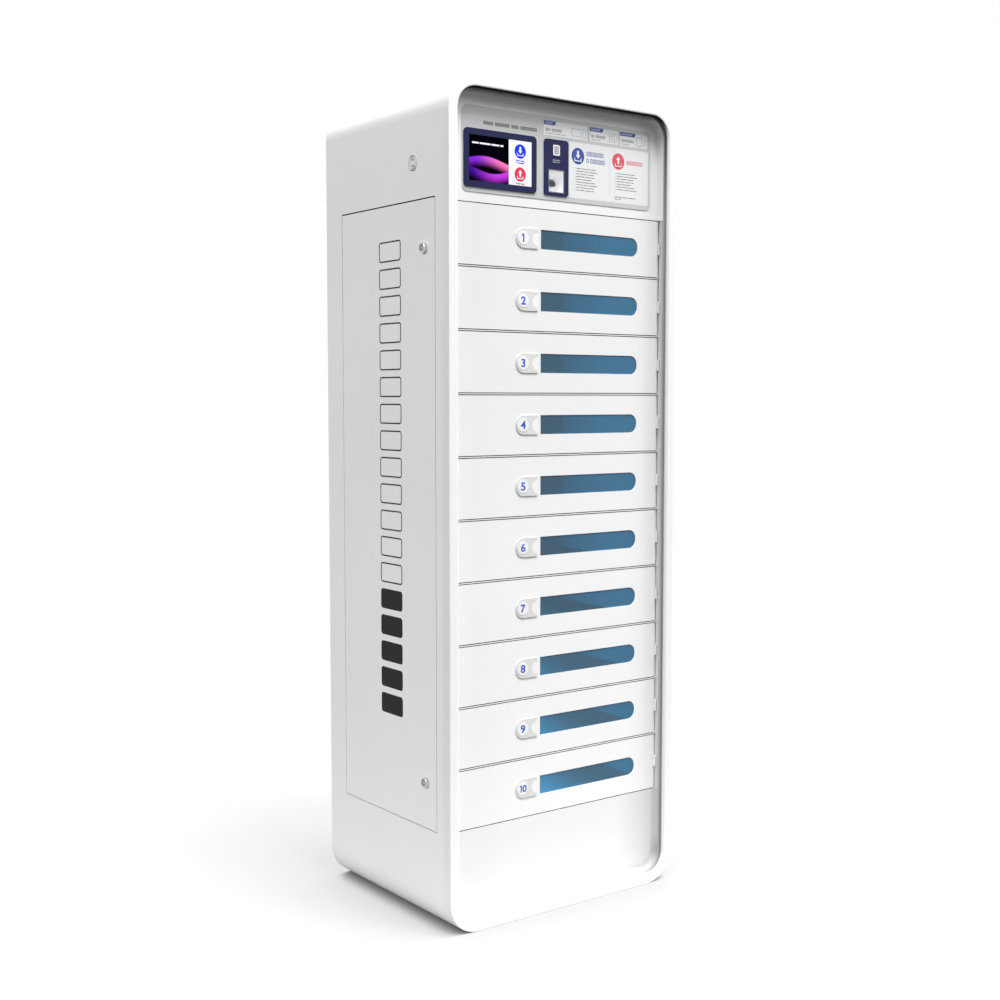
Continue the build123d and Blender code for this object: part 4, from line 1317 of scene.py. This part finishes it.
# %% [markdown]
# ## Floor and sky
#
# The cabinet stands on a white floor that goes on into a white background. Near the cabinet the
# floor takes a soft shadow, darker where it meets the cabinet; farther away it fades into pure
# white. Light that bounces off it is held back, so that faces that look down stay dark.

# %% Floor
floor_reach = 30.0
shadow_reach = (1.0, 2.4)
bounce_reach = (0.45, 1.3)
bounce_shade = 0.31
floor_points = np.array([[-1, -1, 0], [1, -1, 0], [1, 1, 0], [-1, 1, 0]]) * floor_reach
floor_mesh = bpy.data.meshes.new("floor")
floor_mesh.from_pydata(floor_points.tolist(), [], [[0, 1, 2, 3]])
floor = bpy.data.objects.new("floor", floor_mesh)
bpy.context.scene.collection.objects.link(floor)

floor_white = Finish("floor_white", {"Roughness": 1.0, "Emission Strength": 1.0})
floor_white.set({"Specular IOR Level": 0.0})
distance = floor_white.node(
    "ShaderNodeVectorMath", {"operation": "LENGTH"}, {0: floor_white.place}, output=1
)
seen = floor_white.seen_directly()
far = distance.step(*shadow_reach)
contact = floor_white.node("ShaderNodeAmbientOcclusion", {}, {"Distance": 0.4}, output="AO")
open_share = (far + contact * 0.36 + 0.64).sum("MINIMUM", 1.0)
close = floor_white.node("ShaderNodeAmbientOcclusion", {}, {"Distance": 0.12}, output="AO")
tucked = (close * (1 / 0.53)).sum("MINIMUM", 1.0).sum("POWER", 1.6)
open_share = open_share * (0.12 + 0.88 * tucked)
near_look = floor_white.blend(far, (0.16, 0.16, 0.16, 1), black)
near_bounce = floor_white.blend(distance.step(*bounce_reach), (bounce_shade,) * 3 + (1,), black)
near_look = floor_white.blend(open_share, black, near_look)
floor_glow = floor_white.blend(far, (0.74, 0.74, 0.74, 1), (1, 1, 1, 1))
floor_glow = floor_white.blend(open_share, black, floor_glow)
floor_white.set({"Base Color": floor_white.blend(seen, near_bounce, near_look)})
floor_white.set({"Emission Color": floor_white.blend(seen, black, floor_glow)})
floor_mesh.materials.append(floor_white.material)
print("floor half width", floor_reach, "m")

# %% Sky
sky_light = 0.38
world = bpy.data.worlds.new("studio")
bpy.context.scene.world = world
world.use_nodes = True
world.node_tree.nodes.clear()
sky = Graph(world.node_tree)
sky_colour = sky.blend(sky.seen_directly(), (sky_light, sky_light, sky_light, 1), (1, 1, 1, 1))
backdrop = sky.node("ShaderNodeBackground", {}, {"Color": sky_colour})
sky.node("ShaderNodeOutputWorld", {}, {"Surface": backdrop}, output=None)
print("sky light", sky_light)

# %% [markdown]
# ## Lamps
#
# The main lamp is high up in front. Its light comes down steeply, so the rim's top lip shades
# the head panel in a long soft gradient. Four weaker ones fill in from the front, the left, the
# right and the back; the left side stays greyer than the front. The lamps are far away, so the
# light is as strong at the foot as at the head.


# %% Soft lamps
def soft_lamp(name, place, target, size, power):
    """A square area lamp at a place, turned to face a target."""
    light = bpy.data.lights.new(name, "AREA")
    light.size = size
    light.energy = power
    lamp = bpy.data.objects.new(name, light)
    back = np.array(place, float) - np.array(target, float)
    back /= np.linalg.norm(back)
    tilt = math.acos(back[2])
    heading = math.atan2(back[1], back[0])
    lamp.location = place
    lamp.rotation_euler = (0, tilt, heading)
    bpy.context.scene.collection.objects.link(lamp)
    return lamp


soft_lamp("steep", (1.0, -4.5, 14.0), (0, -0.2, 1.0), 4.0, 2600)
soft_lamp("front", (2.5, -8.0, 12.0), (0, -0.2, 1.0), 5.0, 250)
soft_lamp("left", (-12.0, -1.0, 8.0), (0, 0, 1.0), 6.0, 1000)
soft_lamp("right", (11.0, -5.5, 9.0), (0, -0.2, 1.0), 5.0, 1000)
soft_lamp("back", (3.0, 12.0, 8.0), (0, 0, 1.0), 6.0, 750)
print("lamps: 5")

# %% [markdown]
# ## Camera
#
# The picture was taken from the front left, a little above the middle of the cabinet, with a
# normal lens. The camera has no roll, so two angles turn it.

# %% Camera
lens_mm = 49.98
camera_place = (-2.0541, -2.7438, 1.1992)
camera_heading = math.radians(36.797)
camera_down = math.radians(4.139)
camera_data = bpy.data.cameras.new("camera")
camera_data.lens = lens_mm
camera_data.sensor_width = 36.0
camera_data.sensor_fit = "HORIZONTAL"
camera = bpy.data.objects.new("camera", camera_data)
camera.location = camera_place
camera.rotation_euler = (math.pi / 2 - camera_down, 0, -camera_heading)
bpy.context.scene.collection.objects.link(camera)
bpy.context.scene.camera = camera
bpy.context.scene.view_settings.view_transform = "Standard"
print("camera at", camera_place)
